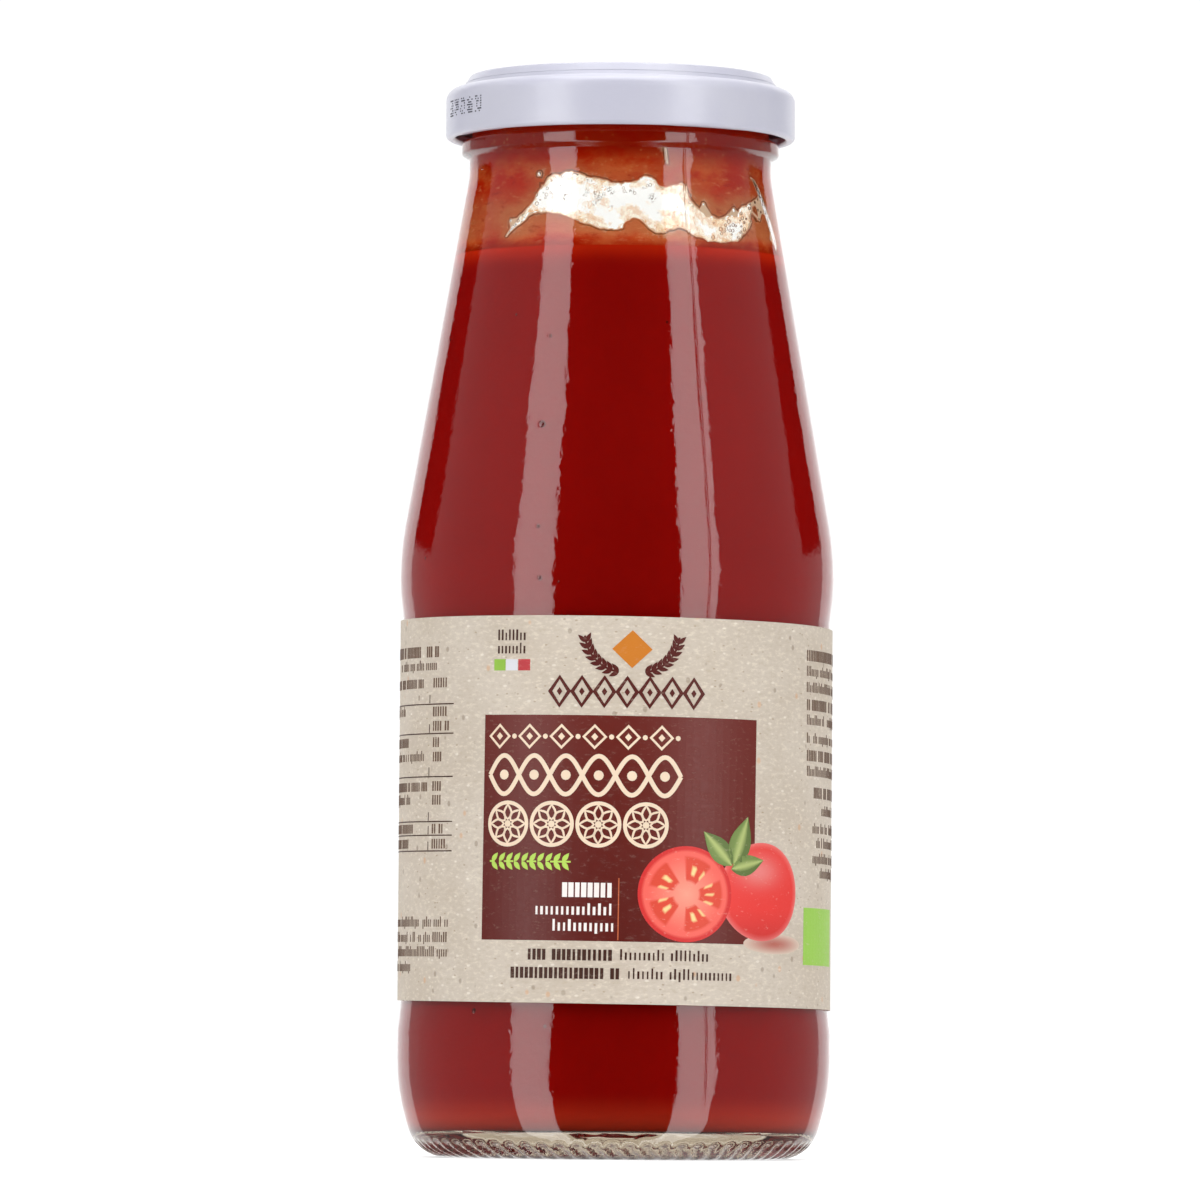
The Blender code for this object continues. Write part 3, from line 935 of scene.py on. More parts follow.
def ticks_tree():
    """Lines of small upright ticks in words of random length, which stand for small print."""
    group, tree, given = geometry_tree(
        "Ticked lines",
        (
            ("Lines", "Int"),
            ("Cells", "Int"),
            ("Left", "Float"),
            ("Top", "Float"),
            ("Cell Width", "Float"),
            ("Line Pitch", "Float"),
            ("Tick Width", "Float"),
            ("Tick Height", "Float"),
            ("Tall Share", "Float"),
            ("Low Share", "Float"),
            ("Gap Share", "Float"),
            ("Full Ends", "Int"),
            ("Ragged", "Float"),
            ("Seed", "Int"),
        )
        + WRAP_SOCKETS
        + (("Material", "Material"),),
    )
    index = tree.add("GeometryNodeInputIndex")
    line = maths("FLOOR", (index + 0.5) / given["Cells"])
    cell = index - line * given["Cells"]
    place = tree.join(given["Left"] + cell * given["Cell Width"], 0.0, given["Top"] - line * given["Line Pitch"])
    points = tree.add("GeometryNodePoints", None, {"Count": given["Lines"] * given["Cells"], "Position": place})

    def chance(key, seed):
        """A random number from 0 to 1 for each key."""
        inputs = {2: 0.0, 3: 1.0, 7: key, 8: given["Seed"] + seed}
        return tree.add("FunctionNodeRandomValue", {"data_type": "FLOAT"}, inputs, 1)

    within = (cell > given["Full Ends"] - 0.5) * (cell < given["Cells"] - given["Full Ends"] - 0.5)
    gap = (chance(index, 0) < given["Gap Share"]) * within
    length = given["Cells"] * (1.0 - given["Ragged"] * chance(line, 1))
    dropped = maths("MAXIMUM", gap, cell > length)
    kept = tree.add(
        "GeometryNodeDeleteGeometry", {"domain": "POINT"}, {"Geometry": points, "Selection": dropped > 0.5}
    )
    ident = tree.add("GeometryNodeInputIndex")
    pick = chance(ident, 2)
    tall = pick < given["Tall Share"]
    low = pick > 1.0 - given["Low Share"]
    quad = tree.add("GeometryNodeMeshGrid", None, {"Size X": 1.0, "Size Y": 1.0, "Vertices X": 2, "Vertices Y": 2})
    upright = tree.add("GeometryNodeTransform", None, {"Geometry": quad, "Rotation": (math.pi / 2, 0.0, 0.0)})
    grow = 1.0 + tall * 0.42 + low * 0.3
    scale = tree.join(given["Tick Width"] * (0.85 + chance(ident, 3) * 0.45), 1.0, given["Tick Height"] * grow)
    shift = tree.join(0.0, 0.0, given["Tick Height"] * (tall * 0.21 - low * 0.15))
    moved = tree.add("GeometryNodeSetPosition", None, {"Geometry": kept, "Offset": shift})
    placed = tree.add("GeometryNodeInstanceOnPoints", None, {"Points": moved, "Instance": upright, "Scale": scale})
    real = tree.add("GeometryNodeRealizeInstances", None, {0: placed})
    end_tree(tree, wrapped(tree, given, real), given["Material"])
    return group


def row_tree():
    """A flat motif repeated along a line, then laid round the bottle."""
    group, tree, given = geometry_tree(
        "Row of motifs",
        (("Count", "Int"), ("Start", "Float"), ("Pitch", "Float"), ("Height", "Float"))
        + WRAP_SOCKETS
        + (("Material", "Material"),),
    )
    index = tree.add("GeometryNodeInputIndex")
    place = tree.join(given["Start"] + index * given["Pitch"], 0.0, given["Height"])
    points = tree.add("GeometryNodePoints", None, {"Count": given["Count"], "Position": place})
    placed = tree.add("GeometryNodeInstanceOnPoints", None, {"Points": points, "Instance": given["Geometry"]})
    real = tree.add("GeometryNodeRealizeInstances", None, {0: placed})
    end_tree(tree, wrapped(tree, given, real), given["Material"])
    return group


def rings_tree():
    """Bubble rims: a small ring on every point, as large as the point says, flat against the wall."""
    group, tree, given = geometry_tree("Bubble rims", (("Thickness", "Float"), ("Material", "Material")))
    where = tree.add("GeometryNodeInputPosition")
    outward = tree.stretched(where, 1.0, 1.0, 0.0)
    turn = tree.add("FunctionNodeAlignRotationToVector", {"axis": "Z"}, {"Vector": outward})
    size = tree.add("GeometryNodeInputNamedAttribute", {"data_type": "FLOAT"}, {"Name": "size"})
    circle = tree.add("GeometryNodeCurvePrimitiveCircle", {"mode": "RADIUS"}, {"Resolution": 12, "Radius": 1.0})
    section = tree.add("GeometryNodeCurvePrimitiveCircle", {"mode": "RADIUS"}, {"Resolution": 4, "Radius": 0.2})
    ring = tree.add("GeometryNodeCurveToMesh", None, {"Curve": circle, "Profile Curve": section})
    points = tree.add("GeometryNodeMeshToPoints", None, {"Mesh": given["Geometry"]})
    placed = tree.add(
        "GeometryNodeInstanceOnPoints",
        None,
        {"Points": points, "Instance": ring, "Rotation": turn, "Scale": tree.join(size, size, given["Thickness"])},
    )
    end_tree(tree, placed, given["Material"])
    return group


def blister_tree():
    """Small air bubbles in the glass: a ball on every point, drawn out upward, as large as the point says."""
    group, tree, given = geometry_tree("Blisters", (("Stretch", "Float"), ("Material", "Material")))
    size = tree.add("GeometryNodeInputNamedAttribute", {"data_type": "FLOAT"}, {"Name": "size"})
    ball = tree.add("GeometryNodeMeshIcoSphere", None, {"Radius": 1.0, "Subdivisions": 3})
    points = tree.add("GeometryNodeMeshToPoints", None, {"Mesh": given["Geometry"]})
    inputs = {"Points": points, "Instance": ball, "Scale": tree.join(size, size, size * given["Stretch"])}
    end_tree(tree, tree.add("GeometryNodeInstanceOnPoints", None, inputs), given["Material"])
    return group


TREES = {}


def shared_tree(maker):
    """The tree that a function makes, made once."""
    if maker not in TREES:
        TREES[maker] = maker()
    return TREES[maker]


def grow(source, maker, values):
    """The plain mesh that a tree makes from a source mesh and the values of its inputs."""
    group = shared_tree(maker)
    holder = bpy.data.objects.new("seedling", source)
    bpy.context.collection.objects.link(holder)
    modifier = holder.modifiers.new("growth", "NODES")
    modifier.node_group = group
    sockets = {
        item.name: item.identifier
        for item in group.interface.items_tree
        if item.item_type == "SOCKET" and item.in_out == "INPUT"
    }
    for label, value in values.items():
        modifier[sockets[label]] = value
    graph = bpy.context.evaluated_depsgraph_get()
    mesh = bpy.data.meshes.new_from_object(holder.evaluated_get(graph))
    holder.modifiers.remove(modifier)
    bpy.data.objects.remove(holder)
    if not mesh.polygons:
        raise RuntimeError(f"{group.name} made no faces")
    return mesh


def tidy(mesh, smooth_angle=None):
    """Welds a mesh, turns its faces outward and shades it."""
    bm = bmesh.new()
    bm.from_mesh(mesh)
    bmesh.ops.remove_doubles(bm, verts=bm.verts, dist=WELD)
    bmesh.ops.recalc_face_normals(bm, faces=bm.faces)
    bm.to_mesh(mesh)
    bm.free()
    if smooth_angle is None:
        mesh.shade_flat()
    else:
        mesh.shade_smooth()
        mesh.set_sharp_from_angle(angle=smooth_angle)


def add_piece(name, mesh, replaced=None):
    """Puts a finished mesh in the scene as a piece of the bottle."""
    mesh.name = name
    piece = bpy.data.objects.new(name, mesh)
    bpy.context.collection.objects.link(piece)
    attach(piece, "root")
    if replaced:
        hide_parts(replaced)
    return piece


# Profiles


def fillet(corners):
    """Points along a chain of corners (radius, height, turn), with an arc of radius turn at each."""
    points = []
    for before, corner, after in zip([None, *corners], corners, [*corners[1:], None]):
        here = Vector(corner[:2])
        turn = corner[2]
        if before is None or after is None or turn == 0:
            points.append(here)
            continue
        back = (Vector(before[:2]) - here).normalized()
        ahead = (Vector(after[:2]) - here).normalized()
        half = back.angle(ahead) / 2
        centre = here + (back + ahead).normalized() * (turn / math.sin(half))
        start = here + back * (turn / math.tan(half)) - centre
        bend = math.pi - 2 * half
        side = 1 if back.cross(ahead) < 0 else -1
        steps = max(math.ceil(bend / ARC_STEP), math.ceil(bend * turn / ROW_STEP))
        for step in range(steps + 1):
            points.append(centre + Matrix.Rotation(side * bend * step / steps, 2) @ start)
    return points


def divided(points, longest):
    """The same chain with long straights cut into equal lengths."""
    rows = [points[0]]
    for start, end in zip(points, points[1:]):
        cuts = max(1, math.ceil((end - start).length / longest))
        rows += [start.lerp(end, cut / cuts) for cut in range(1, cuts + 1)]
    return rows


def cone_radius(height):
    """Outer radius of the long cone at a height."""
    share = (height - SHOULDER_CORNER) / (NECK_CORNER - SHOULDER_CORNER)
    return SHOULDER_RADIUS + (NECK_RADIUS - SHOULDER_RADIUS) * share


def cone_height(radius):
    """Height at which the long cone has an outer radius."""
    share = (radius - SHOULDER_RADIUS) / (NECK_RADIUS - SHOULDER_RADIUS)
    return SHOULDER_CORNER + (NECK_CORNER - SHOULDER_CORNER) * share


def cavity(sink):
    """Corners of the glass's inner side from the mouth down, moved outward into the glass by sink."""
    mouth = MOUTH_RADIUS + sink
    body = BODY_INSIDE + sink
    return [
        (mouth, cone_height(MOUTH_RADIUS + WALL), 12),
        (body, cone_height(BODY_INSIDE + WALL), 50),
        (body, FLOOR_EDGE - sink, FLOOR_TURN),
        (BASE_FLAT, FLOOR_MIDDLE - sink, 12),
        (0, FLOOR_MIDDLE - sink, 0),
    ]


def wall_radius(height):
    """Radius of the glass's inner side at a height in the neck or on the cone."""
    return max(MOUTH_RADIUS, cone_radius(height) - WALL)


def profile_mesh(rows):
    """A mesh that holds the rows of a profile as loose points."""
    mesh = bpy.data.meshes.new("profile")
    mesh.from_pydata([(row.x * MM, 0, row.y * MM) for row in rows], [], [])
    return mesh


def point_mesh(places):
    """Loose points at (radius, angle, height), each with its size."""
    mesh = bpy.data.meshes.new("points")
    co = [(r * math.sin(turn) * MM, -r * math.cos(turn) * MM, height * MM) for r, turn, height, _ in places]
    mesh.from_pydata(co, [], [])
    layer = mesh.attributes.new("size", "FLOAT", "POINT")
    layer.data.foreach_set("value", [size * MM for *_, size in places])
    return mesh


def turned(rows, sides, material, uneven=0, look=None):
    """The mesh of a profile turned round the axis."""
    values = {
        "Sides": sides,
        "Rows": len(rows),
        "Uneven Rows": uneven,
        "Wave Depth": look.wave_depth if look else 0.0,
        "Waves To The Metre": look.wave_count if look else 1.0,
        "Crests": look.crest_count if look else 1,
        "Crest Depth": look.crest_depth if look else 0.0,
        "Seam Depth": look.seam_depth if look else 0.0,
        "Seam Angle": look.seam_angle if look else 0.0,
        "Material": material,
    }
    return grow(profile_mesh(rows), turned_tree, values)


# Flat shapes for the label, in millimetres


def flat_mesh(name, points, faces, tints=None):
    """A flat mesh, across on x and up on z, with a colour for each point if it has any."""
    mesh = bpy.data.meshes.new(name)
    mesh.from_pydata([(x * MM, 0, z * MM) for x, z in points], [], faces)
    if tints is not None:
        layer = mesh.attributes.new("tint", "FLOAT_COLOR", "POINT")
        layer.data.foreach_set("color", [part for tint in tints for part in (*tint, 1.0)])
    return mesh


def joined(parts):
    """Points and faces of several shapes as one."""
    points, faces = [], []
    for some_points, some_faces in parts:
        faces += [[at + len(points) for at in face] for face in some_faces]
        points += list(some_points)
    return points, faces


def grid_shape(left, right, low, high, step=INK_GRID):
    """A rectangle in cells no longer than the step across."""
    columns = max(1, math.ceil((right - left) / step))
    points = []
    for column in range(columns + 1):
        x = left + (right - left) * column / columns
        points += [(x, low), (x, high)]
    faces = [(2 * c, 2 * c + 2, 2 * c + 3, 2 * c + 1) for c in range(columns)]
    return points, faces


def band_shape(line, width, closed=False):
    """A stroke of even width along a line of points."""
    count = len(line)
    points = []
    for at, (x, z) in enumerate(line):
        before = line[at - 1] if closed or at else line[at]
        after = line[(at + 1) % count] if closed or at < count - 1 else line[at]
        ahead = Vector((after[0] - before[0], after[1] - before[1])).normalized()
        points.append((x + ahead.y * width / 2, z - ahead.x * width / 2))
        points.append((x - ahead.y * width / 2, z + ahead.x * width / 2))
    total = count if closed else count - 1
    faces = []
    for at in range(total):
        after = (at + 1) % count
        faces.append((2 * at, 2 * after, 2 * after + 1, 2 * at + 1))
    return points, faces


def ring_line(radius, count, x=0.0, z=0.0, squash=1.0):
    """Points of a circle or an ellipse, counterclockwise."""
    return [
        (x + radius * math.cos(math.tau * k / count), z + radius * squash * math.sin(math.tau * k / count))
        for k in range(count)
    ]


def fan_shape(outline):
    """A small solid shape round the middle of its outline."""
    middle = (sum(p[0] for p in outline) / len(outline), sum(p[1] for p in outline) / len(outline))
    points = [middle, *outline]
    count = len(outline)
    return points, [(0, 1 + at, 1 + (at + 1) % count) for at in range(count)]


def moved_shape(shape, x, z, turn=0.0, scale=1.0):
    """A shape turned, scaled and shifted."""
    cosine, sine = math.cos(turn) * scale, math.sin(turn) * scale
    points = [(x + a * cosine - b * sine, z + a * sine + b * cosine) for a, b in shape[0]]
    return points, shape[1]


def leaf_outline(length, width, count=10):
    """A pointed leaf from its foot at the origin along x."""
    upper = [
        (length * k / count, width / 2 * math.sin(math.pi * (k / count) ** 0.8)) for k in range(1, count)
    ]
    lower = [(x, -z) for x, z in upper]
    return [(0, 0), *lower, (length, 0), *reversed(upper)]


def lozenge(width, height):
    """Corners of a lozenge, counterclockwise."""
    return [(width / 2, 0), (0, height / 2), (-width / 2, 0), (0, -height / 2)]


class LabelPrinter:
    """Lays flat shapes on the label in one ink, slightly sunk into the paper and slightly proud of it."""

    def __init__(self, lift=1.0):
        self.base = {
            "Radius": (LABEL_RADIUS - INK_SINK) * MM,
            "Thickness": (INK_SINK + INK_LIFT * lift) * MM,
            "Skew": LABEL_SKEW,
            "Level": LABEL_LEVEL * MM,
        }

    def sheet(self, name, shape, material, tints=None):
        """One wrapped sheet as a piece."""
        source = flat_mesh(name, *shape, tints)
        mesh = grow(source, wrap_tree, {**self.base, "Material": material})
        tidy(mesh)
        return add_piece(name, mesh)

    def row(self, name, shape, count, start, pitch, height, material):
        """A motif repeated along a line as a piece."""
        values = {
            **self.base,
            "Count": count,
            "Start": start * MM,
            "Pitch": pitch * MM,
            "Height": height * MM,
            "Material": material,
        }
        mesh = grow(flat_mesh(name, *shape), row_tree, values)
        tidy(mesh)
        return add_piece(name, mesh)

    def tick_mesh(self, box, lines, style, material, seed, gap, ragged=0.0, ends=2):
        """Lines of ticks in a box (left, right, low, high)."""
        left, right, low, high = box
        height, cell, tick, tall = TICK_STYLES[style]
        pitch = (high - low) / lines
        values = {
            **self.base,
            "Lines": lines,
            "Cells": max(2, round((right - left) / cell)),
            "Left": (left + cell / 2) * MM,
            "Top": (high - pitch / 2) * MM,
            "Cell Width": cell * MM,
            "Line Pitch": pitch * MM,
            "Tick Width": tick * MM,
            "Tick Height": height * MM,
            "Tall Share": tall,
            "Low Share": tall * 0.2,
            "Gap Share": gap,
            "Full Ends": ends,
            "Ragged": ragged,
            "Seed": seed,
            "Material": material,
        }
        return grow(bpy.data.meshes.new("ticks"), ticks_tree, values)

    def ticks(self, name, box, lines, style, material, seed, gap, ragged=0.0, ends=2):
        """A block of ticked lines as a piece."""
        mesh = self.tick_mesh(box, lines, style, material, seed, gap, ragged, ends)
        tidy(mesh)
        return add_piece(name, mesh)

    def blocks(self, table, material):
        """The blocks of one table in one ink."""
        for name, box, lines, style, seed, gap, uneven in table:
            self.ticks(name, box, lines, style, material, seed, gap, uneven)

    def column(self, name, rows, material, seed):
        """Rows of ticks (left, right, middle, style) as one piece."""
        bm = bmesh.new()
        for at, (left, right, middle, style) in enumerate(rows):
            box = (left, right, middle - 1, middle + 1)
            mesh = self.tick_mesh(box, 1, style, material, seed + at, COLUMN_GAPS)
            bm.from_mesh(mesh)
            bpy.data.meshes.remove(mesh)
        mesh = bpy.data.meshes.new(name)
        bm.to_mesh(mesh)
        bm.free()
        mesh.materials.append(material)
        tidy(mesh)
        return add_piece(name, mesh)


# Film on the neck


def spline(points, step):
    """A smooth closed line through points, in steps no longer than step."""
    count = len(points)
    line = []
    for at in range(count):
        before, start, end, after = (Vector(points[(at + k) % count]) for k in (-1, 0, 1, 2))
        steps = max(1, math.ceil((end - start).length / step))
        for k in range(steps):
            t = k / steps
            bend = (2 * before - 5 * start + 4 * end - after) * t * t
            twist = (3 * start - before - 3 * end + after) * t * t * t
            line.append(0.5 * (2 * start + (end - before) * t + bend + twist))
    return line


def ragged(points, seed, depth=0.42, step=0.3):
    """A closed line through (degrees, height) points, rough as a drying edge, in millimetres of arc."""
    arc = FILM_ROUND * DEG
    line = spline([(a * arc, h) for a, h in points], step)
    rough = []
    for place in line:
        wobble = noise.noise_vector(Vector((place.x * 0.9, place.y * 0.9, seed)))
        fine = noise.noise_vector(Vector((place.x * 2.6, place.y * 2.6, seed + 5.0)))
        x = place.x + depth * (wobble.x + 0.55 * fine.x)
        rough.append((x, place.y + depth * (wobble.y + 0.55 * fine.y)))
    return rough


def inside(outline, x, y):
    """Whether a point lies in a closed outline."""
    found = False
    for (xa, ya), (xb, yb) in zip(outline, [*outline[1:], outline[0]]):
        if (ya > y) != (yb > y) and x < xa + (y - ya) / (yb - ya) * (xb - xa):
            found = not found
    return found


def film_holes(seed):
    """Outlines of all bare places in the film, in millimetres of arc and height, and the bubbles' rings."""
    chance = random.Random(seed)
    noise.seed_set(TEAR_SEED)
    arc = FILM_ROUND * DEG
    holes = [
        ragged(WINDOW_LOW + WINDOW_HIGH, 1.0),
        ragged(STREAK, 2.0, 0.12, 0.35),
        ragged(NICK, 3.0, 0.05, 0.3),
        ragged(REAR_LOW + REAR_HIGH, 4.0, 0.5, 0.8),
    ]
    rings = []
    for angle, height, wide, tall, count, small, large in BUBBLE_CLUSTERS:
        for _ in range(count):
            x = angle * arc + chance.gauss(0, wide * 0.55)
            y = height + chance.gauss(0, tall * 0.55)
            size = chance.uniform(small, large)
            if all(math.hypot(x - a, y - b) > (size + c) * 0.95 for a, b, c in rings):
                rings.append((x, y, size))
    torn = list(holes)
    for x, y, size in rings:
        clear = all(min(math.hypot(x - a, y - b) for a, b in hole) > size + 0.25 for hole in torn)
        if clear and size > 0.2 and not any(inside(hole, x, y) for hole in torn):
            holes.append(ring_line(size * 0.8, 12, x, y))
    return holes, rings


def patch_shape(outer, holes, step, seed):
    """Triangles that fill an outline round its holes, with points on a shaken grid."""
    chance = random.Random(seed)
    points = []
    edges = []
    for line in [outer, *holes]:
        first = len(points)
        points += [Vector(point) for point in line]
        edges += [(first + k, first + (k + 1) % len(line)) for k in range(len(line))]
    lines = np.array([tuple(point) for point in points])
    left, low = lines[: len(outer)].min(axis=0)
    right, high = lines[: len(outer)].max(axis=0)
    for column in range(1, int((right - left) / step)):
        for row in range(1, int((high - low) / step)):
            x = left + column * step + chance.uniform(-0.2, 0.2) * step
            y = low + row * step + chance.uniform(-0.2, 0.2) * step
            if np.hypot(lines[:, 0] - x, lines[:, 1] - y).min() > 0.4 * step:
                points.append(Vector((x, y)))
    verts, _, faces, *_ = delaunay_2d_cdt(points, edges, [], 0, 1e-5)
    kept = []
    for face in faces:
        x = sum(verts[at].x for at in face) / 3
        y = sum(verts[at].y for at in face) / 3
        if inside(outer, x, y) and not any(inside(hole, x, y) for hole in holes):
            kept.append(face)
    return [(v.x, v.y) for v in verts], kept


def shell_mesh(name, shape, outer_radius, thickness, distance):
    """A patch on the inside of the neck, given its thickness inward and closed all round."""
    points, faces = shape
    used = sorted({at for face in faces for at in face})
    place = {at: k for k, at in enumerate(used)}
    faces = [[place[at] for at in face] for face in faces]
    points = [points[at] for at in used]
    arc = FILM_ROUND
    co = []
    for depth in (0, 1):
        for (x, y), away in zip(points, distance(points)):
            radius = (outer_radius(y) - depth * thickness(away)) * MM
            angle = x / arc
            co.append((radius * math.sin(angle), -radius * math.cos(angle), y * MM))
    count = len(points)
    all_faces = [tuple(face) for face in faces] + [tuple(at + count for at in reversed(face)) for face in faces]
    sides = {}
    for face in faces:
        for a, b in zip(face, [*face[1:], face[0]]):
            sides[(a, b)] = sides.get((a, b), 0) + 1
    for a, b in sides:
        if (b, a) not in sides:
            all_faces.append((b, a, a + count, b + count))
    mesh = bpy.data.meshes.new(name)
    mesh.from_pydata(co, [], all_faces)
    layer = mesh.attributes.new("rim_distance", "FLOAT", "POINT")
    away = distance(points)
    layer.data.foreach_set("value", [*away, *away])
    return mesh


def distance_to(holes):
    """A function that gives the distance of each point to the nearest outline."""
    lines = np.array([point for hole in holes for point in spline(hole, 0.15)])

    def measure(points):
        """The distance of each point."""
        return [float(np.hypot(lines[:, 0] - x, lines[:, 1] - y).min()) for x, y in points]

    return measure


# Settings that a user would change


def colour_setting(name, description, default):
    """A colour that a user would change."""
    return bpy.props.FloatVectorProperty(name=name, description=description, default=default, subtype="COLOR")


def length_setting(name, description, default):
    """A length that a user would change, in metres."""
    return bpy.props.FloatProperty(
        name=name, description=description, default=default, unit="LENGTH", precision=6
    )


class BottleLook(bpy.types.PropertyGroup):
    """Sizes and colours of the bottle's looks."""

    sides: bpy.props.IntProperty(name="Glass Sides", description="Facets round the glass", default=490, min=32)
    wave_depth: length_setting("Wave Depth", "How uneven the glass's outside is", 0.00013)
    wave_count: bpy.props.FloatProperty(
        name="Waves", description="Bumps to the metre on the glass's outside", default=95.0
    )
    crest_count: bpy.props.IntProperty(
        name="Heel Crests", description="Raised crescents round the heel", default=70
    )
    crest_depth: length_setting("Crest Depth", "Height of the heel's crescents", 0.00045)
    seam_depth: length_setting("Seam Depth", "Depth of the mould seam", 0.00005)
    seam_angle: bpy.props.FloatProperty(
        name="Seam Angle", description="Mould seam, from the front", default=24.8 * DEG, subtype="ANGLE"
    )
    glass_colour: colour_setting("Glass", "Tint of the glass", (0.985, 0.985, 0.965))
    glass_foot: colour_setting("Glass Foot", "Tint of the thick glass at the foot", (0.38, 0.31, 0.22))
    fill_level: length_setting("Fill Level", "Height of the filling", 145.5 * MM)
    passata_colour: colour_setting("Passata", "Deep colour of the filling", (0.130, 0.0003, 0.0001))
    passata_light: colour_setting("Passata Light", "Its cloudy parts", (0.148, 0.0005, 0.0002))
    # Painted light: the filling painted brighter at the heel, where it turns from the light
    passata_heel_light: colour_setting("Passata Foot", "Where it thins out at the heel", (0.27, 0.02, 0.007))
    passata_edge: colour_setting("Passata Edge", "The filling at its upper edge", (0.33, 0.013, 0.001))
    film_colour: colour_setting("Film", "Film on the neck", (0.58, 0.022, 0.0015))
    film_light: colour_setting("Film Light", "Thin places in the film", (0.70, 0.125, 0.028))
    film_halo: colour_setting("Film Halo", "The film round its bare places", (0.60, 0.20, 0.075))
    # Thick film, and also the painted shade of the film under the cap
    film_thick_and_shade: colour_setting("Film Dark", "Thick places in the film", (0.34, 0.006, 0.0008))
    film_tan: colour_setting("Film Tan", "Dried film", (0.66, 0.36, 0.2))
    film_cream: colour_setting("Film Cream", "Rim of the film", (0.85, 0.64, 0.44))
    stain_colour: colour_setting("Stain", "Tint of what clings to the bare glass", (0.90, 0.70, 0.54))
    cap_colour: colour_setting("Cap", "Lacquer of the cap", (0.515, 0.515, 0.595))
    cap_shade: colour_setting("Cap Shade", "Second tone of the lacquer", (0.49, 0.49, 0.58))
    paper_colour: colour_setting("Paper", "Kraft paper", (0.516, 0.444, 0.363))
    paper_light: colour_setting("Paper Light", "Second tone of the paper", (0.569, 0.501, 0.424))
    panel_colour: colour_setting("Panel", "Brown field of the print", (0.130, 0.014, 0.009))
    # Painted shade: the panel's lower left corner painted darker
    panel_shade: colour_setting("Panel Deep", "Its darker corner", (0.100, 0.008, 0.005))
    strip_light: bpy.props.FloatProperty(
        name="Strip Light", description="Brightness of the two tall lights", default=4.1
    )
    side_glow: bpy.props.FloatProperty(
        name="Side Glow",
        description="Power of the two lights that reach into the filling",
        default=14.0,
        unit="POWER",
    )
    wall_light: bpy.props.FloatProperty(
        name="Wall Light", description="Brightness of the side walls", default=0.42
    )


class BOTTLE_OT_glass(bpy.types.Operator):
    """Turn the glass bottle."""

    bl_idname = "bottle.glass"
    bl_label = "Glass"

    def execute(self, context):
        look = context.scene.bottle_look
        outside = [
            (0, BASE_RISE, 0),
            (BASE_FLAT, BASE_RISE, 12),
            (FOOT_RADIUS, 0, 0),
            (HEEL_RADIUS, 0, HEEL_TURN),
            (BODY_RADIUS, 10.9, 36),
            (BODY_RADIUS, 20.2, 3),
            (RECESS_RADIUS, 24.4, 3),
            (RECESS_RADIUS, 86.6, 6),
            (SHOULDER_RADIUS, 91.8, 20),
            (SHOULDER_RADIUS, SHOULDER_CORNER, 50),
            (NECK_RADIUS, NECK_CORNER, 12),
            (NECK_RADIUS, 161.5, 0.15),
            (BEAD_RADIUS, 162.2, 0.55),
            (BEAD_RADIUS, 164.2, 0.6),
            (FINISH_RADIUS, 164.5, 0.4),
            (FINISH_RADIUS, RIM_HEIGHT, 0.95),
            (MOUTH_RADIUS, RIM_HEIGHT, 0.95),
        ]
        rows = fillet(outside + cavity(0))
        top = max(range(len(rows)), key=lambda at: rows[at].y)
        outer = divided(rows[: top + 1], ROW_STEP)
        inner = divided(rows[top:], INNER_ROW_STEP)[1:]
        mesh = turned(outer + inner, look.sides, glass_material(look), len(outer), look)
        tidy(mesh, 60 * DEG)
        add_piece("glass_bottle", mesh, "bottle")
        places = []
        for angle, height, size in BLISTERS:
            radius = cone_radius(max(height, SHOULDER_CORNER)) - BLISTER_DEPTH
            places.append((radius, angle * DEG, height, size))
        values = {"Stretch": BLISTER_STRETCH, "Material": air_material()}
        blisters = grow(point_mesh(places), blister_tree, values)
        tidy(blisters, 180 * DEG)
        add_piece("glass_blisters", blisters)
        return {"FINISHED"}


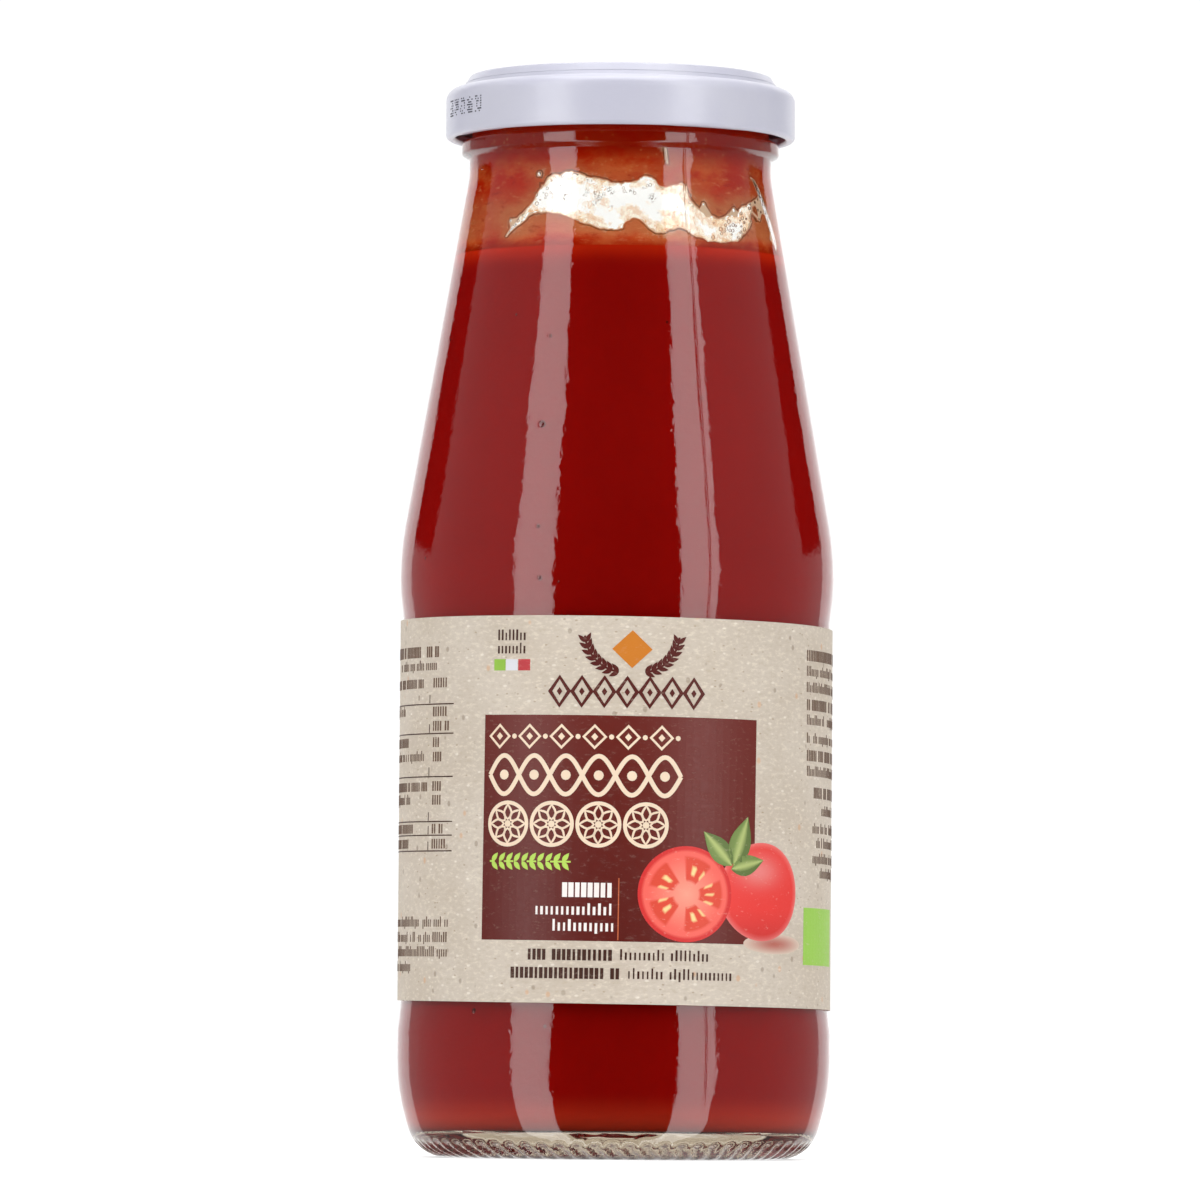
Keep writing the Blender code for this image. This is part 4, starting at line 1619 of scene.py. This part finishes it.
class BOTTLE_OT_filling(bpy.types.Operator):
    """Fill the bottle and leave a torn film on the neck."""

    bl_idname = "bottle.filling"
    bl_label = "Filling"

    def execute(self, context):
        look = context.scene.bottle_look
        level = look.fill_level / MM
        edge = wall_radius(level) + SINK
        surface = [
            (0, level - MENISCUS, 0),
            (edge - 2.2, level - MENISCUS, 0),
            (edge - 0.8, level - MENISCUS * 0.6, 0),
            (edge, level, 0),
        ]
        chain = fillet(surface + cavity(SINK)[1:])
        turn = next(at for at, row in enumerate(chain) if at > len(surface) and row.x < DRY_RADIUS)
        wet = chain[:turn]
        dry = [row for row in fillet(cavity(-FLOOR_GAP)) if row.x < DRY_RADIUS and row.y < 20]
        rows = divided(wet + dry, INNER_ROW_STEP)
        mesh = turned(rows, FILL_SIDES, passata_material(look))
        tidy(mesh, 40 * DEG)
        add_piece("passata_fill", mesh, "passata")
        self.build_film(look)
        return {"FINISHED"}

    def build_film(self, look):
        """The torn film, the stains on the bare glass and the rims of the bubbles."""
        half = math.pi * FILM_ROUND
        start = -half / 2
        rise = int((FILM_TOP - FILM_FOOT) / FILM_GRID)
        heights = [FILM_FOOT + (FILM_TOP - FILM_FOOT) * k / rise for k in range(rise + 1)]
        across = int(2 * half / FILM_GRID)
        steps = [start + 2 * half * k / across for k in range(across + 1)]
        outer = [(x, FILM_FOOT) for x in steps] + [(steps[-1], h) for h in heights[1:]]
        outer += [(x, FILM_TOP) for x in reversed(steps[:-1])] + [(start, h) for h in reversed(heights[1:-1])]
        holes, rings = film_holes(BUBBLE_SEED)
        measure = distance_to(holes)
        shape = patch_shape(outer, holes, FILM_GRID, GRID_SEED)
        mesh = shell_mesh(
            "film",
            shape,
            lambda height: wall_radius(height) + SINK * 0.8,
            lambda away: FILM_THIN + (FILM_THICK - FILM_THIN) * min(1.0, away / 2.5) ** 0.7,
            measure,
        )
        mesh.materials.append(film_material(look))
        tidy(mesh, 50 * DEG)
        add_piece("passata_film", mesh)
        stains = []
        for at, margin in ((0, 0.5), (3, 0.8)):
            middle = Vector(np.mean(np.array(holes[at]), axis=0))
            spokes = [Vector(point) - middle for point in holes[at]]
            grown = [tuple(middle + spoke * (1 + margin / spoke.length)) for spoke in spokes]
            stains.append(patch_shape(grown, [], STAIN_GRID, STAIN_SEED + at))
        stain = shell_mesh(
            "stain",
            joined(stains),
            lambda height: wall_radius(height) + 0.02,
            lambda away: STAIN_THICK,
            measure,
        )
        stain.materials.append(stain_material(look))
        tidy(stain, 50 * DEG)
        add_piece("passata_stain", stain)
        seeds = point_mesh([(wall_radius(y) - 0.04, x / FILM_ROUND, y, size * 0.85) for x, y, size in rings])
        bubbles = grow(seeds, rings_tree, {"Thickness": 0.5 * MM, "Material": rim_material(look)})
        tidy(bubbles, 60 * DEG)
        add_piece("film_bubbles", bubbles)


class BOTTLE_OT_cap(bpy.types.Operator):
    """Press the steel cap."""

    bl_idname = "bottle.cap"
    bl_label = "Cap"

    def execute(self, context):
        look = context.scene.bottle_look
        skirt = CAP_RADIUS - CAP_SHEET
        corners = [
            (0, CAP_PANEL - 0.3, 0),
            (9.5, CAP_PANEL - 0.3, 1.5),
            (11.5, CAP_PANEL, 1.5),
            (22.6, CAP_PANEL, 0.4),
            (23.1, CAP_TOP, 0.4),
            (24.4, CAP_TOP, 0.5),
            (25.6, CAP_SHOULDER, 0.5),
            (CAP_RADIUS, CAP_SHOULDER, 2.0),
            (CAP_RADIUS, CAP_LOW, 0.75),
            (CURL_INNER_RADIUS, CAP_LOW, 0.6),
            (CURL_INNER_RADIUS, CURL_TOP, 0.2),
            (skirt, CURL_TOP, 0),
            (skirt, CAP_SHOULDER - CAP_SHEET, 1.6),
            (25.2, CAP_SHOULDER - CAP_SHEET, 0),
            (25.2, 173.75, 0),
            (11.5, 173.75, 0),
            (9.5, 173.45, 0),
            (0, 173.45, 0),
        ]
        rows = divided(fillet(corners), 2.0)
        mesh = turned(rows, CAP_SIDES, enamel_material(look))
        for vert in mesh.vertices:
            radius = math.hypot(vert.co.x, vert.co.y)
            if vert.co.z < (CURL_TOP + 0.05) * MM and radius < (CURL_INNER_RADIUS + CURL_WIDTH) * MM:
                turn = math.atan2(vert.co.x, -vert.co.y)
                beyond = min(
                    abs(math.remainder(turn - LUG_ANGLE - math.tau * k / LUG_COUNT, math.tau))
                    for k in range(LUG_COUNT)
                )
                share = min(1.0, max(0.0, (beyond - LUG_HALF_WIDTH) / (LUG_HALF_WIDTH / 2)))
                pull = 1 - share * share * (3 - 2 * share)
                near = min(1.0, ((CURL_INNER_RADIUS + CURL_WIDTH) * MM - radius) / (CURL_WIDTH * MM))
                shorter = 1 - LUG_DEPTH * MM * pull * near / radius
                vert.co.x *= shorter
                vert.co.y *= shorter
        tidy(mesh, 50 * DEG)
        add_piece("steel_cap", mesh, "cap")
        dot = ink_material("code_ink", srgb(54, 54, 66), gloss=0.45)
        printer = LabelPrinter()
        printer.base.update({"Radius": (CAP_RADIUS - 0.02) * MM, "Skew": 0.0})
        for number in range(CODE_COUNT):
            left = CODE_START * CAP_RADIUS * DEG + number * CODE_PITCH
            box = (left, left + CODE_WIDTH, *CODE_HEIGHTS)
            printer.ticks(f"code_dots_{number}", box, CODE_LINES, "dots", dot, 40 + number, CODE_GAPS, ends=0)
        return {"FINISHED"}


class BOTTLE_OT_label(bpy.types.Operator):
    """Cut the kraft label and lay it round the bottle."""

    bl_idname = "bottle.label"
    bl_label = "Label"

    def execute(self, context):
        look = context.scene.bottle_look
        half = math.pi * LABEL_RADIUS - LABEL_GAP / 2
        ups = [LABEL_LOW + (LABEL_HIGH - LABEL_LOW) * k / LABEL_ROWS for k in range(LABEL_ROWS + 1)]
        lefts = [-half + 2 * half * column / LABEL_COLUMNS for column in range(LABEL_COLUMNS + 1)]
        count = len(ups)
        faces = [
            (c * count + r, (c + 1) * count + r, (c + 1) * count + r + 1, c * count + r + 1)
            for c in range(LABEL_COLUMNS)
            for r in range(LABEL_ROWS)
        ]
        values = {
            "Radius": LABEL_BACK_RADIUS * MM,
            "Thickness": (LABEL_RADIUS - LABEL_BACK_RADIUS) * MM,
            "Skew": LABEL_SKEW,
            "Level": LABEL_LEVEL * MM,
            "Material": paper_material(look),
        }
        points = [(x * LABEL_BACK_RADIUS / LABEL_RADIUS, up) for x in lefts for up in ups]
        mesh = grow(flat_mesh("label", points, faces), wrap_tree, values)
        tidy(mesh, 40 * DEG)
        add_piece("kraft_label_paper", mesh, "label")
        return {"FINISHED"}


class BOTTLE_OT_print(bpy.types.Operator):
    """Print ornaments and lines of ticks on the label."""

    bl_idname = "bottle.print"
    bl_label = "Print"

    def execute(self, context):
        look = context.scene.bottle_look
        self.brown = ink_material("brown_ink", srgb(66, 38, 30), cover=0.95)
        self.maroon = ink_material("maroon_ink", srgb(84, 30, 26), cover=0.96)
        self.cream = ink_material("cream_ink", srgb(230, 209, 184), cover=0.98)
        self.panel = ink_material(
            "panel_ink", tuple(look.panel_colour), cover=0.98, deep=tuple(look.panel_shade), gloss=0.4, shine=0.3
        )
        self.under = LabelPrinter(0.35)
        self.over = LabelPrinter(1.0)
        self.print_fields()
        self.print_titles()
        self.print_emblem()
        self.print_fruit()
        self.print_small()
        return {"FINISHED"}

    def print_fields(self):
        """Brown field, green square, three colour chips and a thin rule."""
        self.under.sheet("print_panel", grid_shape(*PANEL), self.panel)
        green = ink_material("green_ink", srgb(150, 196, 82), cover=0.92)
        self.under.sheet("print_green_square", grid_shape(*SQUARE), green)
        for number, (left, colour) in enumerate(CHIPS):
            ink = ink_material(f"chip_ink_{number}", srgb(*colour), cover=0.96)
            chip = grid_shape(left, left + CHIP_WIDTH, *CHIP_HEIGHTS, 1.1)
            self.under.sheet(f"print_chip_{number}", chip, ink)
        rule = ink_material("orange_ink", srgb(186, 96, 60))
        self.over.sheet("print_rule", grid_shape(*PANEL_RULE), rule)

    def print_titles(self):
        """Three rows of ornament in cream."""
        pitch = 5.33
        diamond = joined(
            [
                band_shape(lozenge(3.5, 3.5), 0.5, True),
                fan_shape(lozenge(1.1, 1.2)),
                moved_shape(fan_shape(ring_line(0.42, 8)), pitch / 2, 0),
            ]
        )
        self.over.row("print_row_lozenges", diamond, 6, -19.5, pitch, 66.75, self.cream)
        left, length, middle, swing, wave, steps = -21.2, 31.6, 60.65, 3.05, 10.53, 96
        waves = []
        for side in (1, -1):
            line = []
            for k in range(steps + 1):
                x = left + length * k / steps
                line.append((x, middle + side * swing * math.sin(math.tau * (x - left) / wave)))
            waves.append(band_shape(line, 0.72))
        for k in range(6):
            waves.append(fan_shape(ring_line(0.8, 12, left + wave / 2 * (k + 0.5), middle)))
        self.over.sheet("print_row_waves", joined(waves), self.cream)
        petals = [band_shape(ring_line(3.35, 40), 0.6, True), fan_shape(ring_line(0.55, 10))]
        for k in range(8):
            petal = band_shape(leaf_outline(2.3, 1.35, 6), 0.34, True)
            turn = math.tau * k / 8
            petals.append(moved_shape(petal, 0.72 * math.cos(turn), 0.72 * math.sin(turn), turn))
        self.over.row("print_row_rosettes", joined(petals), 4, -17.8, 7.55, 52.9, self.cream)
        lime = ink_material("lime_ink", srgb(176, 208, 92), cover=0.97)
        level = 46.95
        sprig = [band_shape([(x, level) for x in (-21.0, -17.5, -13.5, -9.5, -7.0)], 0.28)]
        for k in range(10):
            for side in (1, -1):
                leaf = fan_shape(leaf_outline(1.75, 0.8, 6))
                sprig.append(moved_shape(leaf, -20.6 + 1.36 * k, level, side * 0.9))
        self.over.sheet("print_sprig", joined(sprig), lime)

    def print_emblem(self):
        """An ochre lozenge between two laurel sprigs over a row of maroon lozenges."""
        ochre = ink_material("ochre_ink", srgb(196, 118, 38), cover=0.97)
        centre, bow = 2.2, 6.4
        corners = lozenge(6.4, 6.0)
        halves = [((a[0] + b[0]) / 2, (a[1] + b[1]) / 2) for a, b in zip(corners, corners[1:] + corners[:1])]
        outline = [point for pair in zip(corners, halves) for point in pair]
        self.over.sheet("print_ochre_lozenge", moved_shape(fan_shape(outline), centre, 80.7), ochre)
        laurel = []
        for side in (1, -1):
            stem = []
            for k in range(9):
                turn = (-82 + 9.5 * k) * DEG
                stem.append((centre + side * (1.2 + bow * math.cos(turn)), 83.4 + bow * math.sin(turn)))
            laurel.append(band_shape(stem if side > 0 else stem[::-1], 0.34))
            for k in range(1, 9):
                ahead = math.atan2(stem[k][1] - stem[k - 1][1], stem[k][0] - stem[k - 1][0])
                for lean in (0.65, -0.65):
                    leaf = fan_shape(leaf_outline(1.75, 0.72, 6))
                    laurel.append(moved_shape(leaf, *stem[k - 1], ahead + lean))
        self.over.sheet("print_laurel", joined(laurel), self.maroon)
        motif = joined([band_shape(lozenge(3.1, 4.5), 0.72, True), fan_shape(lozenge(0.9, 1.3))])
        self.over.row("print_name_lozenges", motif, 7, -9.3, 3.6, 73.9, self.maroon)

    def print_fruit(self):
        """Round tomatoes, one of them cut, with basil leaves."""
        ink = painted_material("picture_ink")
        leaves = [picture_leaf(x, z, turn, length, length * 0.5) for x, z, turn, length in PICTURE_LEAVES]
        layers = (
            ("picture_shadow", 0.7, [picture_disc((28.6, 34.7), 6.6, 0.24, fruit_shadow)]),
            ("picture_back", 1.0, [picture_disc((25.6, 42.9), 8.3, 0.94, whole_fruit)]),
            ("picture_middle", 1.5, [picture_disc((11.6, 42.2), 7.9, 0.96, cut_fruit)]),
            ("picture_leaves", 2.1, leaves),
        )
        for name, lift, pictures in layers:
            tints = [tint for _, tints in pictures for tint in tints]
            LabelPrinter(lift).sheet(name, joined([shape for shape, _ in pictures]), ink, tints)

    def print_small(self):
        """Ticked lines, rules and columns."""
        white = ink_material("white_ink", srgb(238, 230, 226), cover=0.98)
        self.over.blocks(WHITE_BLOCKS, white)
        self.over.blocks(BROWN_BLOCKS, self.brown)
        small = ink_material("small_ink", srgb(104, 80, 64), cover=0.93)
        self.over.column("print_table_rows", TABLE_ROWS, small, 50)
        self.over.column("print_address", ADDRESS_ROWS, small, 90)
        self.over.column("print_right_rows", RIGHT_ROWS, small, 110)
        half = RULE_WIDTH / 2
        rules = [grid_shape(TABLE_FAR, TABLE_EDGE, up - half, up + half) for up in TABLE_RULES]
        rules += [grid_shape(*TABLE_DIVIDER, up + 0.15, up + 1.5) for up in TABLE_RULES]
        self.over.sheet("print_table_rules", joined(rules), self.brown)
        self.over.blocks(BACK_BLOCKS, small)
        self.under.sheet("print_bar_field", grid_shape(*BAR_FIELD), white)
        self.over.ticks("print_bars", BARS, 1, "bars", self.brown, 34, 0.28)


def fruit_shadow(x, z):
    """A soft pink glow that fades into the paper."""
    return toward(srgb(176, 96, 84), srgb(206, 186, 170), math.hypot(x, z) ** 1.5)


def toward(first, second, share):
    """A colour between two."""
    share = min(1.0, max(0.0, share))
    return tuple(a + (b - a) * share for a, b in zip(first, second))


def picture_disc(middle, radius, squash, colour_of, rings=16, spokes=72):
    """A disc in rings and spokes whose colour comes from a function of the place in the unit circle."""
    points = [middle]
    colours = [colour_of(0.0, 0.0)]
    for ring in range(1, rings + 1):
        for spoke in range(spokes):
            turn = math.tau * spoke / spokes
            share = ring / rings
            x, z = share * math.cos(turn), share * math.sin(turn)
            points.append((middle[0] + radius * x, middle[1] + radius * squash * z))
            colours.append(colour_of(x, z))
    faces = [(0, 1 + spoke, 1 + (spoke + 1) % spokes) for spoke in range(spokes)]
    for ring in range(rings - 1):
        for spoke in range(spokes):
            after = (spoke + 1) % spokes
            low, high = 1 + ring * spokes, 1 + (ring + 1) * spokes
            faces.append((low + spoke, high + spoke, high + after, low + after))
    return (points, faces), colours


def whole_fruit(x, z):
    """A ripe tomato lit from above."""
    red, pink, dark = srgb(222, 52, 46), srgb(226, 132, 128), srgb(176, 34, 34)
    glow = math.exp(-(((x + 0.1) / 0.5) ** 2) - ((z - 0.42) / 0.3) ** 2)
    tone = toward(red, pink, 0.85 * glow)
    tone = toward(tone, dark, max(0.0, -z - 0.35) * 0.9)
    return toward(tone, pink, max(0.0, math.hypot(x, z) - 0.9) * 6)


def cut_fruit(x, z):
    """A tomato cut across: skin, flesh, five seed chambers and a pale core."""
    red, flesh, jelly, core = srgb(206, 40, 38), srgb(232, 96, 84), srgb(214, 66, 44), srgb(238, 150, 128)
    far = math.hypot(x, z)
    turn = math.atan2(z, x)
    if far > 0.92:
        return red
    lobe = math.cos(5 * turn)
    chamber = 0.27 < far < 0.76 and lobe > -0.35
    seed = chamber and math.cos(15 * turn) > 0.4 and 0.42 < far < 0.62
    if seed:
        return srgb(236, 206, 140)
    if chamber:
        return jelly
    return toward(core, flesh, far * 1.3)


def picture_leaf(x, z, turn, length, width):
    """A basil leaf with a lighter vein."""
    points = []
    faces = []
    colours = []
    olive, light, dark = srgb(118, 140, 72), srgb(168, 182, 110), srgb(84, 104, 48)
    rows = 9
    for k in range(rows):
        share = k / (rows - 1)
        half = width / 2 * math.sin(math.pi * share**0.8) if 0 < k < rows - 1 else 0.02
        for side in (-1, -0.5, -0.06, 0.06, 0.5, 1):
            points.append((length * share, half * side))
            tone = light if abs(side) < 0.1 else toward(olive, dark, 0.8 if side < 0 else 0.1)
            colours.append(toward(tone, dark, 0.3 if abs(side) == 1 else 0))
    for k in range(rows - 1):
        for lane in range(5):
            a = k * 6 + lane
            faces.append((a, a + 6, a + 7, a + 1))
    return moved_shape((points, faces), x, z, turn), colours


class BOTTLE_OT_stage(bpy.types.Operator):
    """Set the table, the light and the camera."""

    bl_idname = "bottle.stage"
    bl_label = "Stage"

    def execute(self, context):
        look = context.scene.bottle_look
        mesh = bpy.data.meshes.new("table")
        corners = [(x * TABLE_HALF, y * TABLE_HALF, 0) for x, y in ((-1, -1), (1, -1), (1, 1), (-1, 1))]
        mesh.from_pydata(corners, [], [(0, 1, 2, 3)])
        mesh.materials.append(floor_material())
        table = bpy.data.objects.new("table", mesh)
        bpy.context.collection.objects.link(table)
        table.visible_glossy = False
        make_world(look)
        add_lamp("overhead", 1.2, 14.0, (0.0, 0.0, 1.6))
        lit = bpy.data.collections.new("lit_filling")
        lit.objects.link(bpy.data.objects["passata_fill"])
        for side in (1, -1):
            glow = add_lamp("side_glow", 0.6, look.side_glow, (side * 1.0, -0.09, 0.1), side * math.pi / 2)
            glow.visible_camera = glow.visible_glossy = glow.visible_transmission = False
            glow.light_linking.receiver_collection = lit
        make_camera()
        paths = context.scene.cycles
        paths.max_bounces = paths.glossy_bounces = paths.transmission_bounces = LIGHT_BOUNCES
        context.scene.view_settings.view_transform = "Standard"
        context.scene.view_settings.look = "None"
        return {"FINISHED"}


def add_lamp(name, size, power, place, lean=0.0):
    """A square lamp that shines down, or sideways when it leans."""
    lamp = bpy.data.lights.new(name, "AREA")
    lamp.shape = "SQUARE"
    lamp.size = size
    lamp.energy = power
    holder = bpy.data.objects.new(name, lamp)
    holder.location = place
    holder.rotation_euler = (0.0, lean, 0.0)
    bpy.context.collection.objects.link(holder)
    return holder


def make_world(look):
    """A white studio: two tall strip lights, dim side walls, a dark camera side and a bright backdrop."""
    world = bpy.data.worlds.new("studio")
    world.use_nodes = True
    world.node_tree.nodes.clear()
    bpy.context.scene.world = world
    tree = Tree(world.node_tree)
    x, y, z = tree.split(tree.add("ShaderNodeTexCoord", output="Generated"))
    side = maths("ARCTAN2", abs(x), -y) / DEG
    rise = maths("ARCSINE", z) / DEG

    def between(value, low, high, soft):
        """1 between two values, easing off at both."""
        return smooth(value, low - soft, low + soft) * smooth(value, high + soft, high - soft)

    strips = between(side, *STRIP_SIDES) * smooth(rise, *STRIP_TOP) * look.strip_light
    walls = smooth(side, *WALL_FRONT) * smooth(side, *WALL_BACK) * look.wall_light
    gap = between(side, *GAP_SIDES) * smooth(rise, *GAP_FOOT)
    back = smooth(side, *reversed(WALL_BACK)) * BACKDROP_LIGHT
    level = strips + walls * (1 - gap) + back
    crown = smooth(rise, *CROWN_FOOT)
    level = level * (1 - crown) + crown * CROWN_LIGHT
    seen = tree.add("ShaderNodeLightPath", output="Is Camera Ray")
    strength = level * (1 - seen) + seen * SEEN_LIGHT
    glow = tree.add("ShaderNodeBackground", None, {"Color": (1.0, 1.0, 1.0), "Strength": strength})
    tree.add("ShaderNodeOutputWorld", None, {"Surface": glow})


def make_camera():
    """The camera of the photograph."""
    lens = bpy.data.cameras.new("view")
    lens.lens = CAMERA_LENS
    lens.sensor_width = 36.0
    lens.clip_start = 0.05
    lens.clip_end = 50.0
    right = Vector((1, 0, 0))
    upward = Vector((0, -math.sin(CAMERA_RISE), math.cos(CAMERA_RISE)))
    turned_right = right * math.cos(CAMERA_ROLL) + upward * math.sin(CAMERA_ROLL)
    turned_up = upward * math.cos(CAMERA_ROLL) - right * math.sin(CAMERA_ROLL)
    back = turned_right.cross(turned_up)
    place = Matrix((turned_right, turned_up, back)).transposed().to_4x4()
    place.translation = CAMERA_PLACE
    camera = bpy.data.objects.new("view", lens)
    camera.matrix_world = place
    bpy.context.collection.objects.link(camera)
    bpy.context.scene.camera = camera


class BOTTLE_PT_sidebar(bpy.types.Panel):
    """Lists the bottle's operators and settings."""

    bl_idname = "BOTTLE_PT_sidebar"
    bl_label = "Bottle"
    bl_space_type = "VIEW_3D"
    bl_region_type = "UI"
    bl_category = "Bottle"

    def draw(self, context):
        for operator in OPERATORS:
            self.layout.operator(operator.bl_idname)
        look = context.scene.bottle_look
        for name in BottleLook.__annotations__:
            self.layout.prop(look, name)


OPERATORS = (
    BOTTLE_OT_glass,
    BOTTLE_OT_filling,
    BOTTLE_OT_cap,
    BOTTLE_OT_label,
    BOTTLE_OT_print,
    BOTTLE_OT_stage,
)


def register():
    """Adds the settings, the operators and the panel."""
    for item in (BottleLook, *OPERATORS, BOTTLE_PT_sidebar):
        bpy.utils.register_class(item)
    bpy.types.Scene.bottle_look = bpy.props.PointerProperty(type=BottleLook)


def unregister():
    """Takes them away again."""
    del bpy.types.Scene.bottle_look
    for item in (BOTTLE_PT_sidebar, *reversed(OPERATORS), BottleLook):
        bpy.utils.unregister_class(item)


def main():
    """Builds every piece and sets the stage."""
    register()
    bpy.ops.bottle.glass()
    bpy.ops.bottle.filling()
    bpy.ops.bottle.cap()
    bpy.ops.bottle.label()
    bpy.ops.bottle.print()
    bpy.ops.bottle.stage()


if __name__ == "__main__":
    main()
